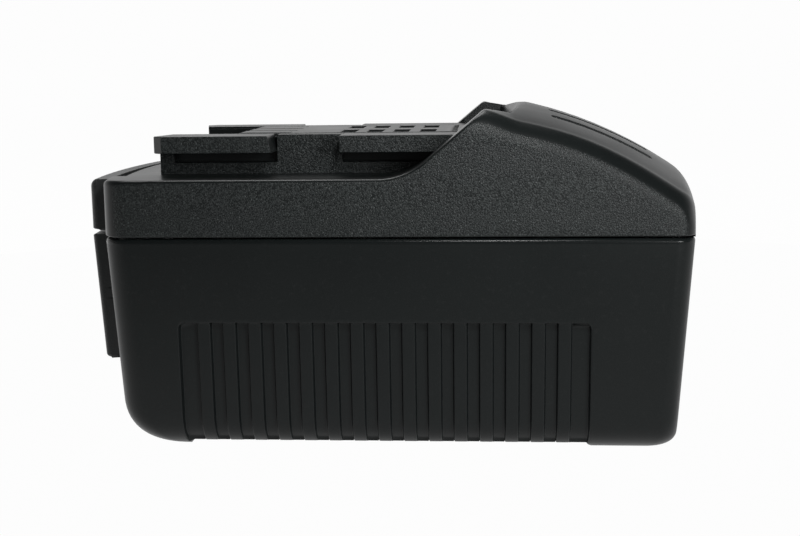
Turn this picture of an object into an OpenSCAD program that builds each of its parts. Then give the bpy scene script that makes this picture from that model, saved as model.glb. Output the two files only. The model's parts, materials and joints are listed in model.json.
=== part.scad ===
// Slide-on battery pack for a cordless power tool, in millimetres.
// Origin: middle of the footprint at table height. +X runs from the release
// button at the front to the vented hump at the rear, +Z is up.

/* [Cells] */
// Diameter of a cell with its sleeve
cell_d = 18.2; // [17:0.1:21]
// Length of a cell over its positive button
cell_l = 65; // [60:0.5:70]
// Gap between neighbouring cells
cell_gap = 0.4; // [0.3:0.1:1.5]
// Radial clearance of a cell in its holder
cell_fit = 0.05; // [0.03:0.01:0.1]
// Plastic round the outer cells in a holder
holder_rim = 1.2; // [0.8:0.1:2.5]
// Length of cell that a holder grips
holder_grip = 12; // [9:0.5:16]
// How far a cell stands out of its holder
cell_proud = 0.3; // [0.1:0.1:0.6]
// Thickness of a cell link strip
link_t = 0.3; // [0.2:0.05:0.5]
// Width of a cell link strip
link_w = 8; // [6:0.5:10]
// Thickness of an insulator sheet
sheet_t = 0.3; // [0.2:0.05:0.6]
// Thickness of the foam pads under the holders
pad_t = 1.6; // [0.8:0.1:2.4]

/* [Casing] */
// Wall of both casings at the ends and in the upper casing
wall = 2.4; // [2:0.1:3]
// Wall of the lower casing's long sides, ribs included
side_wall = 2.6; // [2.2:0.1:3.5]
// Floor of the lower casing
floor_t = 2.8; // [2.4:0.1:3.5]
// Height of the two feet
foot_h = 1.6; // [1.2:0.1:2]
// Room from the front wall to the holders
front_bay = 13.3; // [12.7:0.1:18]
// Room from the holders to the rear wall
rear_bay = 8.8; // [8.4:0.1:12]
// Room beside the insulator sheets at the floor
side_room = 0.6; // [0.4:0.1:2]
// How far the holders stand above the lower casing's rim
rim_drop = 1.3; // [1:0.1:2]
// Dark gap at the seam between the casings
seam_gap = 0.3; // [0.2:0.05:0.5]
// Draft angle of the front end
front_draft = 3.4; // [2:0.1:4]
// Draft angle of the rear end
rear_draft = 3.7; // [2.5:0.1:4]
// Draft angle of the long sides
side_draft = 2.1; // [1:0.1:3]
// Draft angle of the upper casing's sides
upper_draft = 1.5; // [0.5:0.1:2.5]
// Bow radius of the front end in plan
front_bow_r = 200; // [150:5:300]
// Bow radius of the rear end in plan
rear_bow_r = 300; // [200:5:400]
// Plan radius of the front corners
front_corner_r = 6; // [5:0.5:8]
// Plan radius of the rear corners
rear_corner_r = 4; // [3.5:0.5:6]
// Radius under the front end
front_bottom_r = 10; // [8:0.5:11]
// Radius under the rear end
rear_bottom_r = 4; // [3:0.5:6]
// Radius along the bottom of the long sides
side_bottom_r = 7.5; // [6:0.25:8]

/* [Ribbed panels] */
// Distance of a ribbed panel from the front end
ribs_start = 17.8; // [15:0.1:22]
// Length of a ribbed panel
ribs_l = 82; // [60:0.5:86]
// Height of a ribbed panel above the table
ribs_h = 27; // [20:0.1:33]
// Corner radius of a ribbed panel
ribs_corner_r = 1.4; // [1:0.1:3]
// Pitch of the ribs
rib_pitch = 5.13; // [4.5:0.01:5.3]
// Width of a rib
rib_w = 2.6; // [2:0.1:3]
// Depth of the panel floor below the side
rib_floor_d = 1.3; // [1:0.1:1.5]
// Depth of the rib tops below the side
rib_top_d = 0.3; // [0.2:0.05:0.6]
// Height from which the grooves run straight down at their lower ends, above the underside
groove_end = 0.7; // [0.4:0.1:1]

/* [Upper casing] */
// Height of the main board above the holders
board_lift = 2.1; // [1.8:0.1:4]
// Thickness of the main board
board_t = 1.6; // [1:0.1:2]
// Room above the main board, under the deck
board_head = 4.2; // [3.8:0.1:6]
// Thickness of the deck
deck_t = 2.4; // [2:0.1:3]
// Radius along the edge of the deck
deck_edge_r = 1.2; // [0.8:0.1:2]
// Distance of the hump's crest from the rear end
hump_l = 43; // [38:0.5:48]
// Height of the crest above the deck
crest_h = 13.1; // [11.5:0.1:15]
// Angle of the slope up to the crest
slope_a = 40; // [35:1:45]
// Radius at the foot of the slope
slope_foot_r = 14; // [8:0.5:18]
// Radius of the hump's top along its length
hump_arc_r = 93; // [88:1:110]
// Distance from the top of that arc back to the crest
hump_lead = 11.3; // [8:0.1:12]
// Radius of the hump's top across its width
hump_crown_r = 162; // [140:1:260]
// Radius along the hump's shoulders
shoulder_r = 5; // [3:0.25:6]
// Radius at the top of the rear end
rear_round_r = 5; // [4:0.5:7]
// Width of the notch in the front of the hump
notch_w = 53.4; // [48:0.1:56]
// Length of the notch's sides behind the crest
notch_side_l = 5.1; // [3:0.1:7]
// How much deeper the notch is in the middle
notch_bow = 2.5; // [1.5:0.1:4]
// Lean of the notch's back
notch_lean = 30; // [0:1:35]
// Length of a vent slit
vent_l = 20; // [14:0.5:21]
// Width of a vent slit
vent_w = 2.6; // [1.8:0.1:3.2]
// Spacing of the vent slits
vent_pitch = 10; // [7:0.1:10]
// Distance of the vent slits from the crest
vent_back = 13.8; // [12.5:0.1:16]

/* [Rails and contact block] */
// Height of the rail tops above the deck
rail_h = 8.05; // [7.5:0.05:10]
// Thickness of a rail flange
rail_t = 3.5; // [2.8:0.05:3.8]
// Width over both rail flanges
rail_w = 55; // [53:0.1:60]
// Width over the webs under the flanges
web_w = 42; // [41:0.1:46]
// Thickness of the free-standing webs at the front
web_t = 4; // [3.8:0.1:5]
// Distance of the rails from the front end
rail_start = 11.3; // [10:0.1:13]
// Length of the front flange along its underside
rail_front_l = 24.7; // [20:0.1:26]
// Slant of the front flange's inner end
rail_slant = 0.9; // [0.3:0.1:2]
// Length of the drop-in gap between the flanges
rail_gap_l = 13.7; // [11:0.1:15]
// Chamfer on the flanges' front corners
rail_chamfer = 2; // [1:0.1:3]
// How far the flanges' front ends lean back towards the middle
rail_lead = 1.9; // [0:0.1:2.5]
// Height of the undercut below a flange
relief_h = 2.2; // [1.5:0.1:2.6]
// Depth of that undercut into the web
relief_d = 2.4; // [1.5:0.1:2.4]
// Distance of the contact block from the front end
block_start = 26.7; // [26.2:0.1:29]
// Length of a contact slot
slot_l = 11; // [9:0.5:13]
// Width of a contact slot
slot_w = 1.8; // [1.4:0.1:2.2]
// Length of a window in the contact block, along the pack
window_l = 3.3; // [2.5:0.1:4]
// Width of a window in the contact block
window_w = 10.5; // [6:0.5:12]
// Pitch of the windows along the pack
window_pitch = 5.7; // [5:0.1:6.5]

/* [Latch] */
// How far the release button stands out of the front
button_proud = 4.2; // [3.4:0.1:5]
// Width of the release button
button_w = 50.8; // [46:0.2:51]
// Travel of the release button and of the latch bolt
latch_travel = 2.8; // [2:0.1:3]
// How far the top of the release button lies below the deck
button_drop = 0.6; // [0.2:0.1:1]
// Edge radius of the release button
button_edge_r = 1.6; // [0.8:0.1:2]
// Sliding clearance of the latch pieces
slide_fit = 0.3; // [0.2:0.05:0.4]
// Distance of the latch bolt's middle from the front end
bolt_x = 20; // [19.5:0.1:21]
// Length of the latch bolt along the pack
bolt_l = 8; // [7.4:0.1:8.4]
// Width of the latch bolt
bolt_w = 16; // [12:0.5:17]
// Height of the latch bolt's nose above the deck
bolt_h = 5.6; // [4:0.1:6.5]
// Width of each ramp lug and of the button arm over it
lug_w = 5.7; // [4:0.1:6]
// Floor and walls of the latch guide
guide_t = 1.2; // [1:0.1:1.4]
// Outside diameter of the latch spring
spring_d = 4.8; // [4:0.1:5]
// Wire diameter of the latch spring
spring_wire = 0.7; // [0.4:0.05:0.8]

/* [Charge gauge] */
// How far the gauge panel stands out of the front
panel_proud = 4.2; // [3.8:0.1:5]
// Height of the gauge panel
panel_h = 26.6; // [24:0.1:28]
// Edge radius of the gauge panel
panel_edge_r = 1.2; // [0.6:0.1:1.6]
// Thickness of the panel's face at its middle
panel_face_t = 1.9; // [1.7:0.1:2]
// Diameter of the gauge button
gauge_button_d = 6; // [5:0.1:6.2]
// Travel of the gauge button
gauge_travel = 0.4; // [0.2:0.05:0.45]
// Length of a light window across the panel
light_w = 3.6; // [2.5:0.1:4]
// Height of a light window
light_h = 2; // [1.5:0.1:3]

/* [Fasteners] */
// Thread diameter of a casing screw
screw_d = 2.8; // [2.4:0.1:3]
// Head diameter of a casing screw
screw_head_d = 5.2; // [4.4:0.1:5.4]
// Length of a casing screw under its head
screw_l = 12; // [9:0.5:12.5]
// Thread diameter of the small screws
small_screw_d = 1.7; // [1.4:0.05:1.8]
// Head diameter of the small screws
small_head_d = 3.2; // [2.6:0.1:3.3]
// Clearance round screws in their holes
screw_fit = 0.05; // [0.03:0.01:0.1]

/* [Hidden] */
$fn = 48;
columns = 5;
rows = 2;
contacts = 4;
lights = 4;
vents = 5;
rib_count = 15;
cells = [for (i = [1 : columns * rows]) str("cell_", i)];
terminals = [for (i = [1 : contacts]) str("terminal_", i)];
// Columns that each link strip joins, and the side that it lies on
links = [
    ["link_left_1", -1, 0, 0], ["link_left_2", -1, 1, 2], ["link_left_3", -1, 3, 4],
    ["link_right_1", 1, 0, 1], ["link_right_2", 1, 2, 3], ["link_right_3", 1, 4, 4]
];

// Heights
cell_pitch = cell_d + cell_gap;
block_l = (columns - 1) * cell_pitch + cell_d + 2 * holder_rim;
block_h = (rows - 1) * cell_pitch + cell_d + 2 * holder_rim;
floor_z = foot_h + floor_t;
block_z0 = floor_z + pad_t;
block_z1 = block_z0 + block_h;
seam_z = block_z1 - rim_drop;
board_z0 = block_z1 + board_lift;
board_z1 = board_z0 + board_t;
roof_z = board_z1 + board_head;
deck_z = roof_z + deck_t;
rail_z1 = deck_z + rail_h;
rail_z0 = rail_z1 - rail_t;
relief_z = rail_z0 - relief_h;
crest_z = deck_z + crest_h;
cell_top = block_z1 - holder_rim;

// Lengths and widths
half_w = cell_l / 2 + link_t + sheet_t + side_room + side_wall + (seam_z - floor_z) * tan(side_draft);
body_l = 2 * wall + front_bay + block_l + rear_bay;
x_front = (button_proud - body_l) / 2;
x_rear = x_front + body_l;
block_x0 = x_front + wall + front_bay;
holder_y1 = cell_l / 2 - cell_proud;
holder_y0 = holder_y1 - holder_grip;

// Hump
crest_x = x_rear - hump_l;
slope_x = crest_x - crest_h / tan(slope_a);
slope_foot = slope_foot_r * tan(slope_a / 2);
arc_x = crest_x - hump_lead;
arc_z = crest_z - sqrt(hump_arc_r ^ 2 - hump_lead ^ 2);
round_x = x_rear - rear_round_r;
round_z = arc_z + sqrt((hump_arc_r - rear_round_r) ^ 2 - (round_x - arc_x) ^ 2);
crown_y = notch_w / 2;
crown_run = notch_side_l + notch_bow;
hump_cavity_w = 22;
hump_roof_t = 4;
rear_roof_z = seam_z + 3.7;
rear_roof_x = x_rear - 12;

// Rails and contact block
rail_x0 = x_front + rail_start;
rail_x1 = rail_x0 + rail_front_l;
rail_x2 = rail_x1 + rail_gap_l;
contact_x0 = x_front + block_start;
contact_cavity_w = web_w / 2 - relief_d - wall;
contact_side_room = 3;
contact_pitch = 2 * (contact_cavity_w - contact_side_room) / (contacts - 1);
contact_y = [for (i = [0 : contacts - 1]) (i - (contacts - 1) / 2) * contact_pitch];
window_x = rail_x2 - 1.5;
window_y = 8.8;

// Screw towers
tower_r = screw_head_d / 2 + 1.2;
tower_bore_r = screw_head_d / 2 + 0.2;
boss_r = screw_d / 2 + 1.6;
tower_y = half_w - 9.2;
tower_x = [x_front + 11.4, x_rear - 7.2];
tower_seat = 4;
screw_head_h = 2.2;

// Feet: where the flat of the front foot ends and the rear foot begins, and their bevels
front_foot_l = ribs_start + 0.9;
front_foot_bevel = 1.7;
rear_foot_start = ribs_start + ribs_l - 0.3;
rear_foot_bevel = 1.1;

// Lip of the lower casing inside the seam
lip = 1;
lip_h = 1.4;
lip_fit = 0.15;

// Main board
board_x0 = contact_x0 + 0.5;
board_x1 = cell_x(columns - 1) + link_w / 2;
board_post_r = 2.6;
board_post_x = [board_x0 + 4, board_x1 - 4];
board_post_y = (holder_y0 + holder_y1) / 2;
small_head_h = 1.2;
fet_x = 2;
fet_w = 9;
fet_h = 2.3;
fet_pitch = 12;
fet_tab_l = 2.5;
fet_tab_w = 5.2;
fet_tab_h = 0.6;
chip_x = 18;
chip_w = 7;
chip_h = 1;
shunt_y = 8;
shunt_l = 6;
shunt_w = 4;
shunt_h = 1.2;
capacitor_x = 21;
capacitor_y = -9;
capacitor_d = 4;
capacitor_h = 3;
capacitor_pitch = 5;
plug_x = -12;
plug_y = 20;
plug_l = 8;
plug_w = 4;
plug_h = 3;

// Contacts on the main board
terminal_x = contact_x0 + wall + 0.4;
terminal_l = 8;
terminal_foot = 2;
terminal_fit = 0.15;
carrier_l = 10.9;
carrier_lead = 0.9;
carrier_h = 3;

// Cell links
link_tab_w = 5;
weld_slot_w = 1;
weld_slot_l = 6;

// Latch, from the front end and upwards
button_z0 = seam_z + 0.35;
button_step_z = roof_z - slide_fit;
button_back = 5;
notch_edge = 0.2;
guide_z0 = block_z1 + 0.6;
guide_z1 = guide_z0 + guide_t;
lug_z0 = guide_z1 + latch_travel + 0.4;
lug_z1 = roof_z - slide_fit;
lug_y0 = bolt_w / 2;
lug_y1 = lug_y0 + lug_w;
ramp_gap = 0.42;
bolt_x0 = x_front + bolt_x - bolt_l / 2;
bolt_x1 = bolt_x0 + bolt_l;
bolt_z1 = deck_z + bolt_h;
ramp_x = bolt_x0 - 1.5;
guide_y = lug_y1 + slide_fit;
guide_ear_z0 = block_z1 + small_head_h + 0.2;
guide_ear_z1 = guide_ear_z0 + guide_t;
guide_screw_y = guide_y + guide_t + small_head_d / 2 + 0.9;
guide_screw_l = 5;
spring_bore = 8;
spring_z0 = guide_z1;
spring_z1 = lug_z0 + spring_bore;

// Charge gauge, in the frame of the drafted front
panel_top = 0.3;
panel_gap = 0.03;
panel_rim = 2.7;
panel_inner = panel_face_t - panel_proud;
gauge_v = -13;
gauge_board_u = 2.6;
gauge_board_t = 1.2;
gauge_board_v = [-22, -8];
gauge_post_v = -19.5;
gauge_window_w = 37;
gauge_window_v = [-23, -5];
hook_t = 1.2;
hook_fit = 0.2;
hook_y = gauge_window_w / 2 - hook_fit;
hook_v = [-18, -10];
// Across the gauge: window, hooks, cavity, board, then what the board carries
panel_cavity_w = 2 * (hook_y - hook_t - 0.1);
gauge_side_room = 0.5;
gauge_board_w = panel_cavity_w - 2 * gauge_side_room;
gauge_post_in = 2.3;
gauge_post_y = gauge_board_w / 2 - gauge_post_in;
gauge_button_in = 4.5;
gauge_button_y = gauge_board_w / 2 - gauge_button_in;
light_in = 3.5;
light_to_button = 8.5;
light_pitch = (gauge_board_w - light_in - light_to_button - gauge_button_in) / (lights - 1);
light_y = [for (i = [0 : lights - 1]) light_in - gauge_board_w / 2 + i * light_pitch];
switch_top = 0.05 + gauge_travel;

function cell_x(c) = block_x0 + holder_rim + cell_d / 2 + c * cell_pitch;
function cell_z(r) = block_z0 + holder_rim + cell_d / 2 + r * cell_pitch;
function lerp(a, b, t) = a + (b - a) * t;
function clamp(t) = max(0, min(1, t));
function ease(t) = let (c = clamp(t)) c * c * (3 - 2 * c);
function front_sag(y) = front_bow_r - sqrt(front_bow_r ^ 2 - y ^ 2);
function rear_sag(y) = rear_bow_r - sqrt(rear_bow_r ^ 2 - y ^ 2);
// Setback of a round edge of radius r at distance d from the edge
function round_off(r, d) = r - sqrt(r ^ 2 - max(0, r - max(0, d)) ^ 2);
function arc(c, r, a0, a1, n) =
    [for (i = [0 : n]) let (a = lerp(a0, a1, i / n)) [c[0] + r * cos(a), c[1] + r * sin(a)]];
function tail(list) = [for (i = [1 : len(list) - 1]) list[i]];

// Plan outline: bowed ends joined to straight sides by tangent corners
function outline(x0, x1, hw, rf, rr) =
    let (
        pf = asin((hw - rf) / (front_bow_r - rf)),
        pr = asin((hw - rr) / (rear_bow_r - rr)),
        cf = x0 + front_bow_r - (front_bow_r - rf) * cos(pf),
        cr = x1 - rear_bow_r + (rear_bow_r - rr) * cos(pr)
    )
    concat(
        arc([x1 - rear_bow_r, 0], rear_bow_r, -pr, pr, 8),
        tail(arc([cr, hw - rr], rr, pr, 90, 6)),
        arc([cf, hw - rf], rf, 90, 180 - pf, 6),
        tail(arc([x0 + front_bow_r, 0], front_bow_r, 180 - pf, 180 + pf, 10)),
        tail(arc([cf, rf - hw], rf, 180 + pf, 270, 6)),
        arc([cr, rr - hw], rr, 270, lerp(270, 360 - pr, 5 / 6), 5)
    );

// Outline of the lower casing at height z, moved inwards by an end and a side wall
function tub_ring(z, end_in, side_in) =
    let (
        drop = seam_z - z,
        x0 = x_front + drop * tan(front_draft) + round_off(front_bottom_r, z) + end_in,
        x1 = x_rear - drop * tan(rear_draft) - round_off(rear_bottom_r, z) - end_in,
        hw = half_w - drop * tan(side_draft) - round_off(side_bottom_r, z) - side_in,
        rf = front_corner_r - end_in,
        rr = rear_corner_r - end_in
    )
    [for (p = outline(x0, x1, hw, rf, rr)) [p[0], p[1], z]];

// Right side of the lower casing at height z
function side_y(z) = half_w - (seam_z - z) * tan(side_draft) - round_off(side_bottom_r, z);
function lift(ring, dz) = [for (p = ring) p + [0, 0, dz]];

// Height of the upper casing along its middle
function top_z(x) =
    x < slope_x - slope_foot ? deck_z :
    x < slope_x + slope_foot * cos(slope_a)
        ? deck_z + slope_foot_r - sqrt(slope_foot_r ^ 2 - (x - slope_x + slope_foot) ^ 2) :
    x < crest_x ? deck_z + (x - slope_x) * tan(slope_a) :
    x < round_x + (round_x - arc_x) * rear_round_r / (hump_arc_r - rear_round_r)
        ? arc_z + sqrt(hump_arc_r ^ 2 - (x - arc_x) ^ 2) :
    round_z + sqrt(max(0, rear_round_r ^ 2 - (x - round_x) ^ 2));
// Crown of the hump across the width
function crown(x, y) = ease((x - crest_x) / crown_run) * (crown_y ^ 2 - y ^ 2) / (2 * hump_crown_r);
function edge_r(x) =
    lerp(deck_edge_r, shoulder_r, clamp((top_z(x) - deck_z) / crest_h + ease(x - crest_x)));

// Stations along the upper casing: where its side stands, and how far it bows
function stations() =
    let (
        rf = front_corner_r,
        rr = rear_corner_r,
        pf = asin((half_w - rf) / (front_bow_r - rf)),
        pr = asin((half_w - rr) / (rear_bow_r - rr)),
        cf = x_front + front_bow_r - (front_bow_r - rf) * cos(pf),
        cr = x_rear - rear_bow_r + (rear_bow_r - rr) * cos(pr),
        foot = [for (a = [0 : slope_a / 4 : slope_a]) slope_x - slope_foot + slope_foot_r * sin(a)],
        back = [for (t = [0, 0.06, 0.13, 0.22, 0.35, 0.5, 0.65, 0.8, 0.92]) lerp(crest_x, cr, t)]
    )
    concat(
        [for (t = [0, 0.13, 0.32, 0.57, 0.8, 1]) let (a = lerp(pf, 90, t))
            [cf - rf * cos(a), half_w - rf + rf * sin(a), 1, 0]],
        [[cf + 12, half_w, 0, 0]],
        [for (x = foot) [x, half_w, 0, 0]],
        [for (x = back) [x, half_w, 0, ease((x - crest_x) / (cr - crest_x))]],
        [for (t = [1, 0.8, 0.57, 0.32, 0.13, 0]) let (a = lerp(pr, 90, t))
            [cr + rr * cos(a), half_w - rr + rr * sin(a), 0, 1]]
    );
function bowed_x(s, y) =
    s[0] - s[2] * (front_sag(s[1]) - front_sag(y)) + s[3] * (rear_sag(s[1]) - rear_sag(y));
// One row of points over the top at a station, from side to side
function top_row(s) =
    let (
        x = bowed_x(s, 0),
        r = edge_r(x),
        drop = round_off(deck_edge_r, x - x_front),
        top = top_z(x) - drop,
        w = s[1] - (top - seam_z) * tan(upper_draft),
        half = concat(
            [for (a = [0, 20, 42, 66, 90]) [w - r + r * cos(a), r - r * sin(a)]],
            [for (t = [0.7, 0.4, 0.15]) [(w - r) * t, 0]]
        ),
        row = concat([for (p = half) [-p[0], p[1]]], [[0, 0]], [for (i = [7 : -1 : 0]) half[i]])
    )
    [for (p = row) [bowed_x(s, p[0]), p[0], top + crown(x, min(abs(p[0]), w - r)) - p[1]]];
function base_row(s, z) =
    let (row = top_row(s), k = s[1] / row[len(row) - 1][1])
    [for (p = row) [bowed_x(s, p[1] * k), p[1] * k, z]];

// Solid between two grids of points that share one layout
module slab(a, b) {
    nu = len(a);
    nv = len(a[0]);
    n = nu * nv;
    function id(k, i, j) = k * n + i * nv + j;
    function quad(p, q, r, s) = [[p, q, r], [p, r, s]];
    skin = [for (i = [0 : nu - 2], j = [0 : nv - 2]) each concat(
        quad(id(0, i, j), id(0, i, j + 1), id(0, i + 1, j + 1), id(0, i + 1, j)),
        quad(id(1, i, j), id(1, i + 1, j), id(1, i + 1, j + 1), id(1, i, j + 1)))];
    sides = [for (i = [0 : nu - 2]) each concat(
        quad(id(0, i, 0), id(0, i + 1, 0), id(1, i + 1, 0), id(1, i, 0)),
        quad(id(0, i + 1, nv - 1), id(0, i, nv - 1), id(1, i, nv - 1), id(1, i + 1, nv - 1)))];
    ends = [for (j = [0 : nv - 2]) each concat(
        quad(id(0, 0, j + 1), id(0, 0, j), id(1, 0, j), id(1, 0, j + 1)),
        quad(id(0, nu - 1, j), id(0, nu - 1, j + 1), id(1, nu - 1, j + 1), id(1, nu - 1, j)))];
    polyhedron(points = [each for (g = [a, b]) [each for (r = g) r]], faces = concat(skin, sides, ends));
}

// Solid through a stack of rings, lowest first
module loft(rings) {
    n = len(rings[0]);
    m = len(rings);
    walls = [for (k = [0 : m - 2], i = [0 : n - 1]) let (j = (i + 1) % n)
        each [[(k + 1) * n + i, (k + 1) * n + j, k * n + j], [(k + 1) * n + i, k * n + j, k * n + i]]];
    base = [for (i = [0 : n - 1]) i];
    top = [for (i = [n - 1 : -1 : 0]) (m - 1) * n + i];
    polyhedron(points = [each for (r = rings) r], faces = concat(walls, [base, top]));
}

// Box between two corners
module block(p, q) {
    translate(p) cube(q - p);
}

// The same thing on both sides of the middle plane
module both_sides() {
    children();
    mirror([0, 1, 0]) children();
}

// A shape drawn in X and Z, extruded across the pack from y0 to y1
module across(y0, y1) {
    translate([0, y1, 0]) rotate([90, 0, 0]) linear_extrude(y1 - y0) children();
}

// Frame of the drafted front end, with its origin on the seam
module front_frame() {
    translate([x_front, 0, seam_z]) rotate([0, -front_draft, 0]) children();
}

// A turned piece that stands at p and points inwards from the front end
module inward(p) {
    translate(p) rotate([0, 90, 0]) children();
}

// Frame of the drafted right side, with +Y outwards
module side_frame() {
    translate([0, half_w, seam_z]) rotate([-side_draft, 0, 0]) children();
}

// Front pad with a bowed face and rounded edges: half width, heights, face, back, edge radius
module front_pad(hw, v0, v1, face, back, r) {
    steps = [0, 0.08, 0.3, 0.6, 1];
    near = [for (t = steps) t * r];
    middle = [for (t = [-2 : 2]) t * hw / 4];
    ys = concat([for (d = near) d - hw], middle, [for (i = [4 : -1 : 0]) hw - near[i]]);
    vs = concat([for (d = near) v0 + d], [for (i = [4 : -1 : 0]) v1 - near[i]]);
    function set_in(y, v) =
        let (e = norm([max(0, r - hw + abs(y)), max(0, r - min(v - v0, v1 - v))]))
        round_off(r, r - min(r, e));
    slab(
        [for (v = vs) [for (y = ys) [face + front_sag(y) + set_in(y, v), y, v]]],
        [for (v = vs) [for (y = ys) [back, y, v]]]
    );
}

// Band between the bowed front moved to u0 and the plane u1, hw to each side
module bow_band(u0, u1, hw) {
    n = 12;
    curve = [for (i = [0 : n]) let (y = lerp(-hw, hw, i / n)) [u0 + front_sag(y), y]];
    polygon(concat(curve, [[u1, hw], [u1, -hw]]));
}

// Slot outline with round ends, along X
module slot_2d(l, w) {
    polygon(concat(arc([(l - w) / 2, 0], w / 2, -90, 90, 8), arc([(w - l) / 2, 0], w / 2, 90, 270, 8)));
}

// Rectangle with cut corners
module cut_rect(l, w, c) {
    polygon([[c, 0], [l - c, 0], [l, c], [l, w - c], [l - c, w], [c, w], [0, w - c], [0, c]]);
}

module upper_body() {
    s = stations();
    slab([for (p = s) top_row(p)], [for (p = s) base_row(p, seam_z + seam_gap)]);
}

module upper_cavity() {
    // Rebate for the lip of the lower casing
    rebate = wall - lip - lip_fit;
    translate([0, 0, seam_z - 1]) linear_extrude(lip_h + lip_fit + 1)
        polygon([for (p = tub_ring(seam_z, rebate, rebate)) [p[0], p[1]]]);
    plan = [for (p = tub_ring(seam_z, wall, wall)) [p[0], p[1]]];
    translate([0, 0, seam_z - 1]) {
        linear_extrude(rear_roof_z - seam_z + 1) polygon(plan);
        intersection() {
            linear_extrude(roof_z - seam_z + 1) polygon(plan);
            block([x_front, -half_w, 0], [rear_roof_x, half_w, roof_z]);
        }
    }
    inner = wall / cos(slope_a);
    back = crest_x + notch_side_l + notch_bow + wall;
    roof = [for (t = [0, 0.3, 0.6, 0.85, 1])
        let (x = lerp(back, rear_roof_x, t)) [x, top_z(x) - hump_roof_t + crown(x, 0)]];
    across(-hump_cavity_w, hump_cavity_w) polygon(concat(
        [[slope_x + inner - deck_t, roof_z - 1], [slope_x + inner - deck_t, roof_z]],
        [[slope_x + (rail_h - wall) / tan(slope_a) + inner, rail_z1 - wall], [back, rail_z1 - wall]],
        roof, [[rear_roof_x, roof_z - 1]]
    ));
    block([contact_x0 + wall, -contact_cavity_w, roof_z - 1],
          [slope_x + (rail_h - wall) / tan(slope_a) + inner, contact_cavity_w, rail_z1 - wall]);
}

// Notch in the front of the hump, down to the rail tops
module hump_notch() {
    side = crest_x + notch_side_l;
    bow_r = (crown_y ^ 2 + notch_bow ^ 2) / (2 * notch_bow);
    a = asin(crown_y / bow_r);
    function ring(z) =
        let (back = side + notch_bow - bow_r - (crest_z - z) * tan(notch_lean))
        [for (p = concat([[slope_x, crown_y], [slope_x, -crown_y]], arc([back, 0], bow_r, -a, a, 12)))
            [p[0], p[1], z]];
    loft([ring(rail_z1), ring(rail_z1 + crest_h)]);
}

// Flange, web and undercut of one rail, on the +Y side
module rail() {
    y0 = web_w / 2 - web_t;
    y1 = rail_w / 2;
    hump_x = slope_x + rail_h / tan(slope_a) + wall;
    difference() {
        union() {
            across(y0, y1) polygon([[rail_x0, rail_z0], [rail_x1, rail_z0],
                [rail_x1 - rail_slant, rail_z1], [rail_x0, rail_z1]]);
            block([rail_x2, y0, rail_z0], [hump_x, y1, rail_z1]);
            block([rail_x0, y0, deck_z - deck_t / 2], [hump_x, web_w / 2, rail_z1]);
        }
        translate([rail_x0, y1, rail_z0 - 1]) rotate([0, 0, 45])
            cube([2 * rail_chamfer * sin(45), 2 * rail_chamfer * sin(45), 2 * rail_t + 2], center = true);
        // Lead of the flange, behind its chamfer
        translate([rail_x0, 0, rail_z0]) linear_extrude(rail_t + 1)
            polygon([[-1, y1 - rail_chamfer], [0, y1 - rail_chamfer],
                     [rail_lead, y0 - 0.01], [-1, y0 - 0.01]]);
        groove = web_w / 2 - relief_d;
        block([rail_x0 + rail_chamfer + 1, groove, relief_z], [rail_x1, web_w / 2 + 1, rail_z0]);
        block([rail_x2, groove, relief_z], [slope_x + relief_h, web_w / 2 + 1, rail_z0]);
    }
}

// Deck, hump, rails and contact block with all their openings
module upper_shell() {
    fit = slide_fit;
    hw = button_w / 2 + fit;
    difference() {
        union() {
            difference() {
                upper_body();
                hump_notch();
            }
            block([contact_x0, -web_w / 2 + 1, deck_z - deck_t / 2], [crest_x, web_w / 2 - 1, rail_z1]);
            both_sides() rail();
        }
        upper_cavity();
        // Contact slots, open at the front of the contact block
        for (y = contact_y)
            block([contact_x0 - 1, y - slot_w / 2, deck_z + 0.8],
                  [contact_x0 + slot_l, y + slot_w / 2, rail_z1 + 1]);
        // Windows in the contact block
        for (i = [0 : 3])
            both_sides()
                translate([window_x + i * window_pitch, window_y - window_w / 2, rail_z1 - wall - 1])
                    cube([window_l, window_w, wall + 2]);
        // Vent slits in the hump
        for (i = [0 : vents - 1])
            translate([crest_x + vent_back + vent_l / 2, (i - (vents - 1) / 2) * vent_pitch, roof_z])
                linear_extrude(crest_h + deck_t + 2) slot_2d(vent_l, vent_w);
        // Mouth for the release button, with room for its travel
        block([x_front - 1, -hw, seam_z], [x_front + wall + front_sag(hw) + 1, hw, roof_z]);
        translate([x_front, 0, roof_z - 1]) linear_extrude(deck_t + 2) difference() {
            translate([-1, -hw]) square([hw, 2 * hw]);
            bow_band(latch_travel + fit + notch_edge, hw, hw + 1);
        }
        // Window for the latch bolt
        block([bolt_x0 - fit, -bolt_w / 2 - fit, roof_z - 1],
              [bolt_x1 + fit, bolt_w / 2 + fit, deck_z + 1]);
    }
}

module upper_casing() color("#2b2d30") {
    tip = 0.3;
    guide_boss_r = small_head_d / 2 + 0.5;
    difference() {
        union() {
            upper_shell();
            // Bosses for the casing screws and the latch guide
            both_sides() {
                translate([tower_x[0], tower_y, seam_z]) cylinder(r = boss_r, h = roof_z - seam_z + tip);
                translate([tower_x[1], tower_y, seam_z])
                    cylinder(r = boss_r, h = rear_roof_z - seam_z + tip);
                translate([x_front + bolt_x, guide_screw_y, guide_ear_z1])
                    cylinder(r = guide_boss_r, h = roof_z - guide_ear_z1 + tip);
            }
        }
        both_sides() {
            for (x = tower_x)
                translate([x, tower_y, seam_z - tower_seat])
                    cylinder(r = screw_d / 2 + screw_fit, h = screw_l + tip);
            translate([x_front + bolt_x, guide_screw_y, guide_ear_z0])
                cylinder(r = small_screw_d / 2 + screw_fit, h = guide_screw_l + tip);
        }
    }
}

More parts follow.
